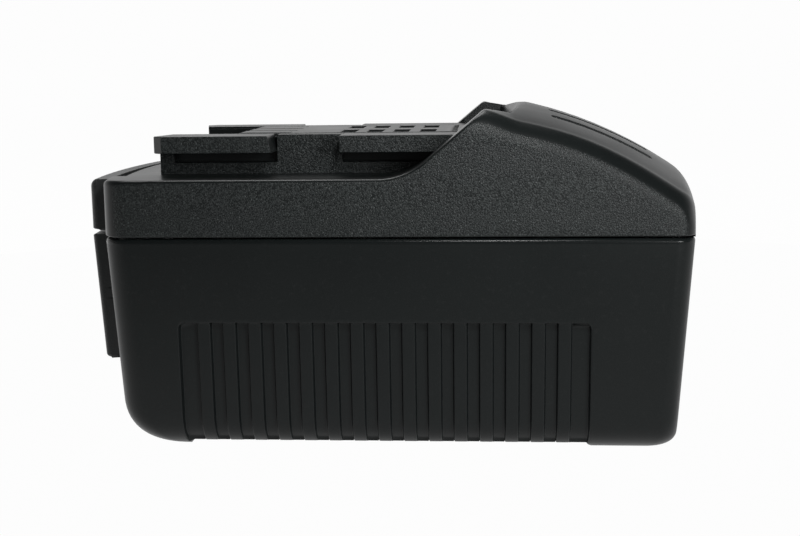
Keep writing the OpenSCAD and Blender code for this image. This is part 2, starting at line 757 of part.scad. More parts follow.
// Space outside the side moved in by d, from x0 to x1, below the top of a ribbed panel
module side_cut(x0, x1, d, straight_z) {
    steps = [for (t = [0.12, 0.2, 0.3, 0.42, 0.56, 0.72, 0.9]) t * side_bottom_r + straight_z];
    zs = concat([foot_h - 1, straight_z], steps, [side_bottom_r + straight_z, ribs_h + 1]);
    translate([x0, 0, 0]) rotate([90, 0, 90]) linear_extrude(x1 - x0)
        polygon(concat([for (z = zs) [side_y(max(z, straight_z)) - d, z]],
                       [[half_w + 1, ribs_h + 1], [half_w + 1, foot_h - 1]]));
}

// Ribbed panel of one long side, as the shape that is cut away
module rib_cut() {
    x0 = x_front + ribs_start;
    x1 = x0 + ribs_l;
    r = ribs_corner_r;
    first = (x0 + x1 - (rib_count - 1) * rib_pitch - rib_w) / 2;
    intersection() {
        union() {
            side_cut(x0 - 1, x1 + 1, rib_top_d, foot_h);
            for (i = [0 : rib_count]) {
                a = i == 0 ? x0 - 1 : first + (i - 1) * rib_pitch + rib_w;
                b = i == rib_count ? x1 + 1 : first + i * rib_pitch;
                side_cut(a, b, rib_floor_d, foot_h + groove_end);
            }
        }
        across(0, half_w + 2) polygon(concat(
            [[x1, 0]], arc([x1 - r, ribs_h - r], r, 0, 90, 6),
            arc([x0 + r, ribs_h - r], r, 90, 180, 6), [[x0, 0]]));
    }
}

module lower_casing() color("#1f2124") {
    heights = concat([for (t = [0, 0.01, 0.04, 0.09, 0.16, 0.25, 0.36, 0.5, 0.66, 0.83]) t * front_bottom_r],
                     [front_bottom_r + 0.6, seam_z]);
    difference() {
        union() {
            loft([for (z = heights) tub_ring(z, 0, 0)]);
            // Lip inside the seam
            translate([0, 0, seam_z - 1]) linear_extrude(lip_h + 1)
                polygon([for (p = tub_ring(seam_z, wall - lip, wall - lip)) [p[0], p[1]]]);
        }
        difference() {
            loft([for (z = [floor_z, floor_z + 1.5, front_bottom_r + 0.6, seam_z, seam_z + lip_h + 1])
                lift(tub_ring(min(z, seam_z), wall, side_wall), max(0, z - seam_z))]);
            both_sides() for (x = tower_x)
                translate([x, tower_y, 0]) cylinder(r = tower_r, h = seam_z);
        }
        // Space between the feet
        translate([x_front, 0, 0]) across(-half_w - 1, half_w + 1) polygon([
            [front_foot_l, 0], [front_foot_l, -1], [rear_foot_start + rear_foot_bevel, -1],
            [rear_foot_start + rear_foot_bevel, 0], [rear_foot_start, foot_h],
            [front_foot_l + front_foot_bevel, foot_h]]);
        both_sides() rib_cut();
        // Screw bores from below
        both_sides() for (x = tower_x) translate([x, tower_y, 0]) {
            translate([0, 0, -1]) cylinder(r = tower_bore_r, h = seam_z - tower_seat + 1);
            cylinder(r = screw_d / 2 + 0.3, h = seam_z + lip_h + 1);
        }
        // Mouth for the release button in the lip, and window behind the gauge
        block([x_front - 1, -button_w / 2 - 2, seam_z],
              [x_front + wall + 8, button_w / 2 + 2, seam_z + lip_h + 1]);
        front_frame() block([-wall, -gauge_window_w / 2, gauge_window_v[0]],
                            [2 * wall, gauge_window_w / 2, gauge_window_v[1]]);
    }
}

module release_button() color("#232528") {
    hw = button_w / 2;
    arm = [[button_back - 1, lug_z0], [ramp_x - x_front - ramp_gap, lug_z0],
           [ramp_x - x_front - ramp_gap + lug_z1 - lug_z0, lug_z1], [button_back - 1, lug_z1]];
    translate([x_front, 0, 0]) {
        difference() {
            front_pad(hw, button_z0, deck_z - button_drop, -button_proud, button_back, button_edge_r);
            translate([0, 0, button_step_z])
                linear_extrude(deck_t + 1) bow_band(notch_edge, button_back + 1, hw + 1);
            block([-button_proud / 2, -hw + 3, button_z0 + 1.8], [button_back + 1, hw - 3, lug_z0 + 0.6]);
        }
        both_sides() {
            across(lug_y0 + 2 * slide_fit, lug_y1) polygon(arm);
            // Stop behind the front wall
            stop = front_sag(hw) + wall + slide_fit + 0.1;
            block([stop, hw - 0.5, button_z0 + 1.5], [stop + 1.2, hw + 1.5, button_step_z - 1]);
        }
    }
}

module latch_bolt() color("#3a3c40") {
    ramp = lug_z1 - lug_z0;
    difference() {
        union() {
            across(-bolt_w / 2, bolt_w / 2)
                polygon([[bolt_x0, lug_z0], [bolt_x1, lug_z0], [bolt_x1, bolt_z1],
                         [bolt_x0 + bolt_l / 2, bolt_z1], [bolt_x0, bolt_z1 - bolt_l / 2]]);
            both_sides() across(lug_y0 - 0.5, lug_y1)
                polygon([[ramp_x, lug_z0], [bolt_x1, lug_z0], [bolt_x1, lug_z1], [ramp_x + ramp, lug_z1]]);
        }
        translate([x_front + bolt_x, 0, lug_z0 - 1])
            cylinder(r = spring_d / 2 + slide_fit, h = spring_bore + 1);
    }
}

// Coil spring under the latch bolt, as one swept wire
module latch_spring() color("#b9bcc0") {
    turns = 6;
    per_turn = 12;
    sides = 6;
    r = (spring_d - spring_wire) / 2;
    z0 = spring_z0 + spring_wire / 2 + 0.02;
    z1 = spring_z1 - spring_wire / 2 - 0.02;
    n = turns * per_turn;
    rings = [for (i = [0 : n]) let (a = 360 * i / per_turn, z = lerp(z0, z1, i / n))
        [for (k = [0 : sides - 1]) let (b = 360 * k / sides, q = r + spring_wire / 2 * cos(b))
            [x_front + bolt_x + q * cos(a), q * sin(a), z + spring_wire / 2 * sin(b)]]];
    walls = [for (i = [0 : n - 1], k = [0 : sides - 1])
        let (a = i * sides, b = a + sides, j = (k + 1) % sides)
        each [[a + k, b + k, b + j], [a + k, b + j, a + j]]];
    polyhedron(points = [each for (g = rings) g], faces = concat(walls,
        [[for (k = [0 : sides - 1]) k], [for (k = [sides - 1 : -1 : 0]) n * sides + k]]));
}

module latch_guide() color("#4a4c50") {
    x0 = bolt_x0 - 4;
    x1 = bolt_x1 + 2;
    mid = x_front + bolt_x;
    ear = guide_screw_y + small_head_d / 2 + 0.3;
    difference() {
        union() {
            block([x0, -guide_y - guide_t, guide_z0], [x1, guide_y + guide_t, guide_z1]);
            both_sides() {
                block([bolt_x0 - 2, guide_y, guide_z0], [x1, guide_y + guide_t, roof_z - 0.1]);
                block([mid - 3, guide_y, guide_ear_z0], [mid + 3, ear, guide_ear_z1]);
            }
            translate([mid, 0, guide_z0]) cylinder(r = spring_d / 2 - spring_wire - 0.2, h = guide_t + 1.2);
        }
        both_sides() translate([mid, guide_screw_y, guide_ear_z0 - 1])
            cylinder(r = small_screw_d / 2 + 0.2, h = guide_t + 2);
    }
}

// Screw with its head below, standing on the origin of its seat
module screw(d, head_d, head_h, l) {
    translate([0, 0, -head_h]) difference() {
        union() {
            cylinder(d = head_d, h = head_h);
            cylinder(d = d, h = head_h + l);
        }
        translate([0, 0, -1]) cylinder(d = d * 0.8, h = head_h / 2 + 1, $fn = 6);
    }
}

module guide_screws() color("#c4c7ca")
    both_sides() translate([x_front + bolt_x, guide_screw_y, guide_ear_z0])
        screw(small_screw_d, small_head_d, small_head_h, guide_screw_l);

module casing_screws() color("#c4c7ca")
    both_sides() for (x = tower_x) translate([x, tower_y, seam_z - tower_seat])
        screw(screw_d, screw_head_d, screw_head_h, screw_l);

module board_screws() color("#c4c7ca")
    both_sides() for (x = board_post_x)
        translate([x, board_post_y, board_z1]) mirror([0, 0, 1])
            screw(small_screw_d, small_head_d, small_head_h, board_t + board_lift);

module gauge_panel() color("#232528") {
    hw = button_w / 2;
    v0 = -panel_top - panel_h;
    post_l = gauge_board_u - panel_inner;
    front_frame() {
        difference() {
            front_pad(hw, v0, -panel_top, -panel_proud, 2 * wall, panel_edge_r);
            // Back, clear of the front wall
            translate([0, 0, v0 - 1]) linear_extrude(panel_h + 2) bow_band(-panel_gap, 3 * wall, hw + 1);
            block([panel_inner, -panel_cavity_w / 2, v0 + panel_rim],
                  [3 * wall, panel_cavity_w / 2, -panel_top - panel_rim]);
            for (y = light_y)
                block([-2 * panel_proud, y - light_w / 2, gauge_v - light_h / 2],
                      [0, y + light_w / 2, gauge_v + light_h / 2]);
            inward([-2 * panel_proud, gauge_button_y, gauge_v])
                cylinder(d = gauge_button_d + slide_fit, h = 2 * panel_proud);
        }
        // Hooks that snap behind the front wall
        both_sides() {
            grip = wall + front_sag(hook_y + 1) + 0.03;
            block([-1, hook_y - hook_t, hook_v[0]], [grip + 1, hook_y, hook_v[1]]);
            block([grip, hook_y - 0.5, hook_v[0]], [grip + 1, hook_y + 1, hook_v[1]]);
        }
        both_sides() inward([panel_inner - 0.3, gauge_post_y, gauge_post_v]) difference() {
            cylinder(r = small_head_d / 2, h = post_l + 0.3);
            translate([0, 0, 1.2]) cylinder(r = small_screw_d / 2 + screw_fit, h = post_l);
        }
    }
}

module gauge_button() color("#6a6d72") front_frame()
    translate([0, gauge_button_y, gauge_v]) rotate([0, 90, 0]) {
        face = -panel_proud + front_sag(gauge_button_y) - 0.45;
        translate([0, 0, face]) cylinder(r1 = gauge_button_d / 2 - 0.3, r2 = gauge_button_d / 2, h = 0.3);
        translate([0, 0, face + 0.3]) cylinder(d = gauge_button_d, h = panel_inner - face);
        translate([0, 0, panel_inner + 0.03]) cylinder(d = gauge_button_d + 1.6, h = 0.8);
        translate([0, 0, panel_inner + 0.5]) cylinder(r = 1.2, h = -panel_inner - 0.5);
    }

module gauge_lens() color("#d8dde0") front_frame() {
    fit = 0.1;
    bar = 2;
    edge = light_w / 2 + 1;
    block([panel_inner, light_y[0] - edge, gauge_v - bar],
          [gauge_board_u - 0.9, light_y[lights - 1] + edge, gauge_v + bar]);
    for (y = light_y)
        block([-panel_proud + front_sag(y) + 0.25, y - light_w / 2 + fit, gauge_v - light_h / 2 + fit],
              [panel_inner + 1, y + light_w / 2 - fit, gauge_v + light_h / 2 - fit]);
}

module gauge_board() color("#1d5c38") front_frame() difference() {
    block([gauge_board_u, -gauge_board_w / 2, gauge_board_v[0]],
          [gauge_board_u + gauge_board_t, gauge_board_w / 2, gauge_board_v[1]]);
    both_sides() inward([gauge_board_u - 1, gauge_post_y, gauge_post_v])
        cylinder(r = small_screw_d / 2 + 0.2, h = gauge_board_t + 2);
}

module gauge_lights() color("#e9e4c8") front_frame()
    for (y = light_y)
        block([gauge_board_u - 0.7, y - 1, gauge_v - 0.6], [gauge_board_u, y + 1, gauge_v + 0.6]);

module gauge_switch() color("#8a8d92") front_frame() translate([0, gauge_button_y, gauge_v]) {
    block([gauge_board_u - 1.6, -2.5, -2.5], [gauge_board_u, 2.5, 2.5]);
    translate([switch_top, 0, 0]) rotate([0, 90, 0]) cylinder(r = 1, h = gauge_board_u - 1.5 - switch_top);
}

module gauge_screws() color("#c4c7ca") front_frame() both_sides()
    translate([gauge_board_u + gauge_board_t, gauge_post_y, gauge_post_v]) rotate([0, -90, 0])
        screw(small_screw_d, small_head_d, small_head_h, 3.4);

// Flat cable from the main board, under the latch, to the back of the gauge board
module gauge_cable() color("#3b3b3b") {
    t = 0.5;
    w = 5;
    y = -8;
    run_z = cell_top + 0.9;
    gauge = gauge_board_u + gauge_board_t + t / 2 + 0.02;
    gauge_z = seam_z + gauge_v * cos(front_draft);
    gauge_x = x_front + gauge / cos(front_draft) - gauge_v * sin(front_draft);
    under = board_z0 - t / 2 - 0.02;
    path = [[board_x0 + 4, under], [board_x0 + 0.8, under], [board_x0 - 1.2, run_z + 0.4],
            [board_x0 - 2.5, run_z], [block_x0 + 2, run_z], [block_x0 - 0.6, run_z - 1],
            [block_x0 - 1.8, run_z - 4], [block_x0 - 3, run_z - 9], [gauge_x + 2.2, gauge_z + 3.4],
            [gauge_x + 0.3, gauge_z + 2], [gauge_x + 0.1, gauge_z - 2]];
    n = len(path) - 1;
    side = [for (i = [0 : n])
        let (d = path[min(n, i + 1)] - path[max(0, i - 1)]) t / 2 * [-d[1], d[0]] / norm(d)];
    across(y - w / 2, y + w / 2)
        polygon(concat([for (i = [0 : n]) path[i] + side[i]], [for (i = [n : -1 : 0]) path[i] - side[i]]));
}

// One cell standing on its flat end
module cell_body() {
    r = cell_d / 2;
    cap = 0.6;
    crimp = cell_l - 3.4;
    rotate_extrude() polygon([[0, 0], [r - 0.5, 0], [r, 0.5], [r, crimp - 0.8], [r - 0.6, crimp - 0.2],
        [r - 0.6, crimp + 0.2], [r, crimp + 0.8], [r, cell_l - 1.2], [r - 0.6, cell_l - cap],
        [2.9, cell_l - cap], [2.7, cell_l], [0, cell_l]]);
}

// Even columns have their positive end on the right, odd ones on the left
module cell(i) color("#2f6f8f") {
    c = (i - 1) % columns;
    turn = c % 2 == 0 ? -90 : 90;
    r = floor((i - 1) / columns);
    translate([cell_x(c), sign(turn) * cell_l / 2, cell_z(r)]) rotate([turn, 0, 0]) cell_body();
}

module holder() {
    difference() {
        union() {
            translate([block_x0, 0, block_z0]) across(holder_y0, holder_y1) cut_rect(block_l, block_h, 2);
            for (x = board_post_x) translate([x, board_post_y, block_z1 - 0.2])
                cylinder(r = board_post_r, h = board_lift + 0.2);
        }
        for (c = [0 : columns - 1], r = [0 : rows - 1])
            translate([cell_x(c), holder_y0 - 1, cell_z(r)]) rotate([-90, 0, 0])
                cylinder(r = cell_d / 2 + cell_fit, h = holder_grip + 2);
        for (x = board_post_x) translate([x, board_post_y, block_z1 - 0.3])
            cylinder(r = small_screw_d / 2 + screw_fit, h = board_lift + 1);
    }
}

module cell_holder_left() color("#55585c") mirror([0, 1, 0]) holder();
module cell_holder_right() color("#55585c") holder();

// Link strip over both rows of one or two columns, with a tab up to the board
module link(l) color("#b7b9b2") {
    x0 = cell_x(l[2]) - link_w / 2;
    x1 = cell_x(l[3]) + link_w / 2;
    z0 = cell_z(0) - link_w / 2;
    z1 = cell_z(rows - 1) + link_w / 2;
    tab = l[2] < l[3] ? (x0 + x1 - link_tab_w) / 2 : l[2] == 0 ? x1 - link_tab_w : x0;
    y = cell_l / 2;
    mirror([0, l[1] < 0 ? 1 : 0, 0]) across(y, y + link_t) difference() {
        union() {
            translate([x0, z0]) square([x1 - x0, z1 - z0]);
            translate([tab, z1 - 1]) square([link_tab_w, board_z1 - z1 + 1]);
        }
        for (c = [l[2] : l[3]], r = [0 : rows - 1])
            translate([cell_x(c), cell_z(r)]) square([weld_slot_w, weld_slot_l], center = true);
    }
}

module insulator() {
    y = cell_l / 2 + link_t;
    inset = 1.5;
    translate([block_x0 + inset, 0, block_z0 + inset])
        across(y, y + sheet_t) cut_rect(block_l - 2 * inset, block_h - 2 * inset, 2);
}

module insulator_left() color("#c9b27a") mirror([0, 1, 0]) insulator();
module insulator_right() color("#c9b27a") insulator();

module foam_pad() {
    block([block_x0 + 3, holder_y0 + 1, floor_z], [block_x0 + block_l - 3, holder_y1 - 1, block_z0]);
}

module foam_pad_left() color("#303030") mirror([0, 1, 0]) foam_pad();
module foam_pad_right() color("#303030") foam_pad();

module main_board() color("#1d5c38") difference() {
    block([board_x0, -cell_l / 2, board_z0], [board_x1, cell_l / 2, board_z1]);
    both_sides() for (x = board_post_x)
        translate([x, board_post_y, board_z0 - 1]) cylinder(r = small_screw_d / 2 + 0.2, h = board_t + 2);
}

// Switching transistors, controller, shunt and capacitors on the main board
module board_components() color("#202226") translate([(board_x0 + board_x1) / 2, 0, board_z1]) {
    for (i = [-1.5 : 1.5]) translate([fet_x, i * fet_pitch, 0]) {
        block([0, -fet_w / 2, 0], [fet_w, fet_w / 2, fet_h]);
        block([fet_w, -fet_tab_w / 2, 0], [fet_w + fet_tab_l, fet_tab_w / 2, fet_tab_h]);
    }
    block([chip_x, -chip_w / 2, 0], [chip_x + chip_w, chip_w / 2, chip_h]);
    block([chip_x, shunt_y, 0], [chip_x + shunt_l, shunt_y + shunt_w, shunt_h]);
    for (i = [0 : 2]) translate([capacitor_x, capacitor_y - capacitor_pitch * i, 0])
        cylinder(d = capacitor_d, h = capacitor_h);
    block([plug_x, plug_y, 0], [plug_x + plug_l, plug_y + plug_w, plug_h]);
}

module terminal_carrier() color("#3a3c40") {
    x0 = terminal_x - carrier_lead;
    edge = contact_cavity_w - 0.6;
    room = terminal_foot + terminal_fit;
    difference() {
        block([x0, -edge, board_z1], [x0 + carrier_l, edge, board_z1 + carrier_h]);
        for (y = contact_y)
            block([terminal_x - terminal_fit, y - room, board_z1 - 1],
                  [terminal_x + terminal_l + terminal_fit, y + room, board_z1 + carrier_h + 1]);
    }
}

// Two sprung leaves on a common foot
module terminal(i) color("#c9974f") {
    top = rail_z1 - wall - 0.5;
    foot = terminal_foot;
    leaf = 0.5;
    pinch = 0.5;
    flare = 0.5;
    half = [[foot, board_z1], [foot, top - 4], [pinch + leaf, top - 1.6], [pinch + leaf + flare, top],
            [pinch + flare, top], [pinch, top - 1.8], [foot - leaf, top - 4.2],
            [foot - leaf, board_z1 + leaf]];
    translate([terminal_x, contact_y[i - 1], 0]) rotate([90, 0, 90]) linear_extrude(terminal_l)
        polygon(concat(half, [for (k = [len(half) - 1 : -1 : 0]) [-half[k][0], half[k][1]]]));
}

// Bead on the top of the middle cell, with two leads up to the board
module thermistor() color("#1c1c1c") translate([cell_x(2), 0, cell_top + 0.05]) {
    block([-2, -1.5, 0], [2, 1.5, 1.2]);
    for (y = [-0.7, 0.7]) translate([0, y, 1]) cylinder(r = 0.3, h = board_z0 - cell_top - 1.05);
}

upper_casing();
lower_casing();
release_button();
latch_bolt();
latch_spring();
latch_guide();
guide_screws();
gauge_panel();
gauge_button();
gauge_lens();
gauge_board();
gauge_lights();
gauge_switch();
gauge_screws();
gauge_cable();
cell_holder_left();
cell_holder_right();
insulator_left();
insulator_right();
foam_pad_left();
foam_pad_right();
main_board();
board_components();
board_screws();
terminal_carrier();
thermistor();
casing_screws();
for (i = [1 : columns * rows]) cell(i);
for (i = [1 : contacts]) terminal(i);
for (l = links) link(l);
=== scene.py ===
import json

import bmesh
import bpy
import numpy as np
from mathutils import Matrix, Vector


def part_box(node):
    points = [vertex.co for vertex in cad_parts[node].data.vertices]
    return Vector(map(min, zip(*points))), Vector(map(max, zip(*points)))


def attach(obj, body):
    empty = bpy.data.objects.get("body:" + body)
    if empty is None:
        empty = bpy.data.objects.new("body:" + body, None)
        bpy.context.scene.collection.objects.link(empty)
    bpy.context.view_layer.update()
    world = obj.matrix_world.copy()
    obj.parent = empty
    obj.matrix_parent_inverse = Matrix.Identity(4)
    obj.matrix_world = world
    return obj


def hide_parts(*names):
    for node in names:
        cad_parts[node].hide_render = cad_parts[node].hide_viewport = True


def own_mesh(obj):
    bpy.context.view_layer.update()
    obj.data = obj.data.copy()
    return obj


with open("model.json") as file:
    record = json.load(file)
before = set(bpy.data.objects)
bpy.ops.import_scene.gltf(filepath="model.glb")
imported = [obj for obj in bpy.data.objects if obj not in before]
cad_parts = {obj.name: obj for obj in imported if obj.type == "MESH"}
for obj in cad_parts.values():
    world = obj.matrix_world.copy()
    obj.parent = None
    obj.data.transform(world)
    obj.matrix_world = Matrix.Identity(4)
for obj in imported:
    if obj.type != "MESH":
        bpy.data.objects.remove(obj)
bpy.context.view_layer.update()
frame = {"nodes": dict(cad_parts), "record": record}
nodes = frame["nodes"]

# Sizes of the pieces are millimetres in the frame of the part; meshes, looks and studio are in metres
casingLow, casingHigh = (np.array(corner) * 1000 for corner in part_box("lower_casing"))
front, rear, halfWidth = casingLow[0], casingHigh[0], casingHigh[1]
seam, deck, railTop, railUnder = 43.9, 55.5, 63.55, 60.05
bows = {"front": 200.0, "rear": 300.0, "frontCorner": 6.0, "rearCorner": 4.0}
print("frame loaded,", len(nodes), "nodes")


def ease(t):  # smooth step from 0 to 1
    t = np.clip(t, 0, 1)
    return t * t * (3 - 2 * t)


def sag(radius, y):  # how far a bow of this radius has fallen back at y
    return radius - np.sqrt(radius ** 2 - np.square(y))


def roundOff(radius, depth):  # drop of a quarter-round edge at a depth from the edge
    lack = np.clip(radius - depth, 0, radius)
    return radius - np.sqrt(radius ** 2 - lack ** 2)


def gridQuads(rows, columns, start=0, wrap=False):  # faces of a grid, row by row, closed around when wrapped
    i, j = np.meshgrid(np.arange(rows - 1), np.arange(columns if wrap else columns - 1), indexing="ij")
    k = (j + 1) % columns
    near, far = i * columns, (i + 1) * columns
    corners = np.stack([near + j, near + k, far + k, far + j], axis=-1)
    return (start + corners.reshape(-1, 4)).tolist()


def rimLoop(rows, columns):  # indices once round the edge of a grid
    index = np.arange(rows * columns).reshape(rows, columns)
    return np.concatenate([index[0, :-1], index[:-1, -1], index[-1, :0:-1], index[:0:-1, 0]])


def bandQuads(rings):  # faces between rings of indices, each ring joined to the next
    following = np.roll(rings, -1, axis=1)
    return np.stack([rings[:-1], following[:-1], following[1:], rings[1:]], axis=-1).reshape(-1, 4).tolist()


def closedPad(skin, back):  # two grids of one shape, with a wall between their edges
    rows, columns = skin.shape[:2]
    loop, total = rimLoop(rows, columns), rows * columns
    faces = gridQuads(rows, columns) + gridQuads(rows, columns, total)
    faces += bandQuads(np.stack([loop, loop + total]))
    return np.concatenate([skin.reshape(-1, 3), back.reshape(-1, 3)]), faces


def joinShells(shells):  # several closed shells as one list of points and faces
    points, faces, start = [], [], 0
    for shellPoints, shellFaces in shells:
        points.append(shellPoints)
        faces += [[start + k for k in face] for face in shellFaces]
        start += len(shellPoints)
    return np.concatenate(points), faces


def newObject(name, shells):  # closed shells in millimetres as one object at the origin
    points, faces = joinShells(shells)
    mesh = bpy.data.meshes.new(name)
    mesh.from_pydata((points * 0.001).tolist(), [], faces)
    thing = bpy.data.objects.new(name, mesh)
    bpy.context.scene.collection.objects.link(thing)
    return thing


def carve(piece, steps):  # joins closed shells to a piece, or cuts them out of it
    tools = []
    for kind, shells in steps:
        tools.append(newObject("tool", shells))
        change = piece.modifiers.new(kind.lower(), "BOOLEAN")
        change.operation, change.solver, change.object = kind, "MANIFOLD", tools[-1]
    piece.data = bpy.data.meshes.new_from_object(piece.evaluated_get(bpy.context.evaluated_depsgraph_get()))
    piece.modifiers.clear()
    piece.data.materials.clear()
    for tool in tools:
        bpy.data.meshes.remove(tool.data)


dressed = []  # each piece with the slot of its look


def addPiece(name, shells, body, slot, stands, steps=()):
    # Mesh with its doubles merged and its faces turned outwards, carved where steps are given
    piece = newObject(name, shells)
    work = bmesh.new()
    work.from_mesh(piece.data)
    bmesh.ops.remove_doubles(work, verts=work.verts, dist=2e-6)
    bmesh.ops.dissolve_degenerate(work, edges=work.edges, dist=1e-7)
    bmesh.ops.recalc_face_normals(work, faces=work.faces)
    work.to_mesh(piece.data)
    work.free()
    if steps:
        carve(piece, steps)
    piece.data.shade_smooth()
    weighted = piece.modifiers.new("faceNormals", "WEIGHTED_NORMAL")
    weighted.mode = "FACE_AREA"
    weighted.keep_sharp = True
    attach(piece, body)
    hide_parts(*stands)
    dressed.append((piece, slot))
    print("piece", name, len(piece.data.vertices), "points", len(piece.data.polygons), "faces")
    return piece


def filletRing(corners, radius, steps=5):
    # Outline, anticlockwise: each corner is an arc tangent to its two edges, with its centre at
    # corner - s r (n1 + n2) / (1 + n1.n2) for the edge normals n1, n2, and s = -1 where the corner is hollow
    corners = np.asarray(corners, float)
    edge = np.roll(corners, -1, axis=0) - corners
    edge /= np.linalg.norm(edge, axis=1)[:, None]
    after = np.stack([edge[:, 1], -edge[:, 0]], axis=1)
    before = np.roll(after, 1, axis=0)
    start = np.arctan2(before[:, 1], before[:, 0])
    turn = (np.arctan2(after[:, 1], after[:, 0]) - start + np.pi) % (2 * np.pi) - np.pi
    signed = radius * np.sign(turn)[:, None]
    centre = corners - signed * (before + after) / (1 + np.sum(before * after, axis=1))[:, None]
    angle = start[:, None] + turn[:, None] * np.linspace(0, 1, steps)
    normal = np.stack([np.cos(angle), np.sin(angle)], axis=-1)
    ring = centre[:, None, :] + signed[:, :, None] * normal
    return ring.reshape(-1, 2), normal.reshape(-1, 2)


def prism(corners, radius, low, high, rim, axis="z"):
    # Outline carried from low to high, its ends drawn in along a quarter round of radius rim
    ring, normal = filletRing(corners, radius)
    angle = np.radians([0, 22, 45, 68, 90])
    inset, rise = rim * (1 - np.sin(angle)), rim * (1 - np.cos(angle))
    drawIn = np.concatenate([inset, inset[::-1]])
    level = np.concatenate([low + rise, (high - rise)[::-1]])
    flat = ring[None] - drawIn[:, None, None] * normal[None]
    along = np.broadcast_to(level[:, None], flat.shape[:2])
    first, second = flat[..., 0], flat[..., 1]
    order = (first, along, second) if axis == "y" else (first, second, along)
    points = np.stack(order, axis=-1).reshape(-1, 3)
    count, levels = len(ring), len(level)
    faces = gridQuads(levels, count, wrap=True)
    faces += [list(range(count)), list(range((levels - 1) * count, levels * count))]
    return points, faces


def cornerArcs(x0, x1, half):  # turn and centre of the corner rounds, where they meet the bowed ends
    rf, rr, bf, br = bows["frontCorner"], bows["rearCorner"], bows["front"], bows["rear"]
    frontTurn, rearTurn = np.arcsin((half - rf) / (bf - rf)), np.arcsin((half - rr) / (br - rr))
    frontCentre = x0 + bf - (bf - rf) * np.cos(frontTurn)
    rearCentre = x1 - br + (br - rr) * np.cos(rearTurn)
    return frontTurn, rearTurn, frontCentre, rearCentre


# Deck, hump and side walls of the upper casing
upperShell = {
    "deckEdge": 1.2, "slopeEdge": 0.9, "shoulder": 5.0, "shoulderLead": 11, "shoulderRun": 3, "draft": 1.5,
    "seamGap": 0.3, "deckEnd": 12.0, "bowReach": 15.2, "rearBowFrom": 16,
    "crest": rear - 43.0, "crestHeight": 13.1, "crestRound": 0.5, "slope": 40.0, "slopeFoot": 14.0,
    "arc": 93.0, "arcLead": 11.3, "arcFrom": 9, "crownRadius": 162.0, "rearRound": 5.0,
    "notchHalf": 26.7, "notchSide": 5.1, "notchBow": 2.5, "notchCorner": 0.7, "notchLean": 30.0,
    "notchRim": 0.45, "notchStep": 0.13, "floorDrop": 0.03, "rimFrom": 4,
    "pullFrom": 1, "pullSpare": 1.05, "pullHold": 0.8, "pullFade": 6.5,
    "ventStart": 13.8, "ventLength": 20.0, "ventHalf": 1.3, "ventPitch": 10.0, "ventDepth": 5.0,
    "openingEdge": 0.3, "endsHalf": 36.5,
    "mouthHalf": 25.7, "mouthDepth": 3.3, "mouthBack": 8.7, "mouthRoof": deck - 2.4, "mouthEdge": 0.5,
    "boltLow": 15.7, "boltHigh": 24.3, "boltHalf": 8.3, "boltFloor": deck - 2.65,
    "roof": deck - 2.9, "roofHalf": 30, "roofEnd": rear - 7.5, "wall": 2.4,
}
slopeTan = np.tan(np.radians(upperShell["slope"]))
slopeStart = upperShell["crest"] - upperShell["crestHeight"] / slopeTan
footHalf = upperShell["slopeFoot"] * np.tan(np.radians(upperShell["slope"] / 2))


def topProfile(x, edgeDrop, shoulderDrop):
    # Height along the middle: deck, circular foot, straight slope, long arc, round down to the rear wall.
    # The slope cuts through the round shoulder of the arc, so the two drops towards the side stay apart
    p = upperShell
    slope = np.radians(p["slope"])
    arcX = p["crest"] - p["arcLead"]
    arcZ = deck + p["crestHeight"] - np.sqrt(p["arc"] ** 2 - p["arcLead"] ** 2)
    roundX = rear - p["rearRound"]
    roundZ = arcZ + np.sqrt((p["arc"] - p["rearRound"]) ** 2 - (roundX - arcX) ** 2)
    meet = roundX + (roundX - arcX) * p["rearRound"] / (p["arc"] - p["rearRound"])
    inFoot = np.clip(x - slopeStart + footHalf, 0, p["slopeFoot"] * np.sin(slope))
    low = deck + p["slopeFoot"] - np.sqrt(p["slopeFoot"] ** 2 - inFoot ** 2)
    low = np.where(x > slopeStart + footHalf * np.cos(slope), deck + (x - slopeStart) * slopeTan, low)
    high = arcZ + np.sqrt(np.maximum(p["arc"] ** 2 - (x - arcX) ** 2, 0))
    high = np.where(x > meet, roundZ + np.sqrt(np.maximum(p["rearRound"] ** 2 - (x - roundX) ** 2, 0)), high)
    high = np.where(x < p["crest"] - p["arcFrom"], low + p["arcFrom"], high - shoulderDrop)
    low = low - edgeDrop
    near = np.clip(1 - np.abs(low - high) / p["crestRound"], 0, 1)
    return np.minimum(low, high) - near ** 2 * p["crestRound"] / 4


def notchEdge(y):  # rear edge of the notch in plan, a shallow arc with round corners
    p = upperShell
    arc = p["notchBow"] * (1 - np.square(y / p["notchHalf"]))
    corner = np.clip(np.abs(y) - p["notchHalf"] + p["notchCorner"], 0, p["notchCorner"])
    return arc - roundOff(p["notchCorner"], p["notchCorner"] - corner)


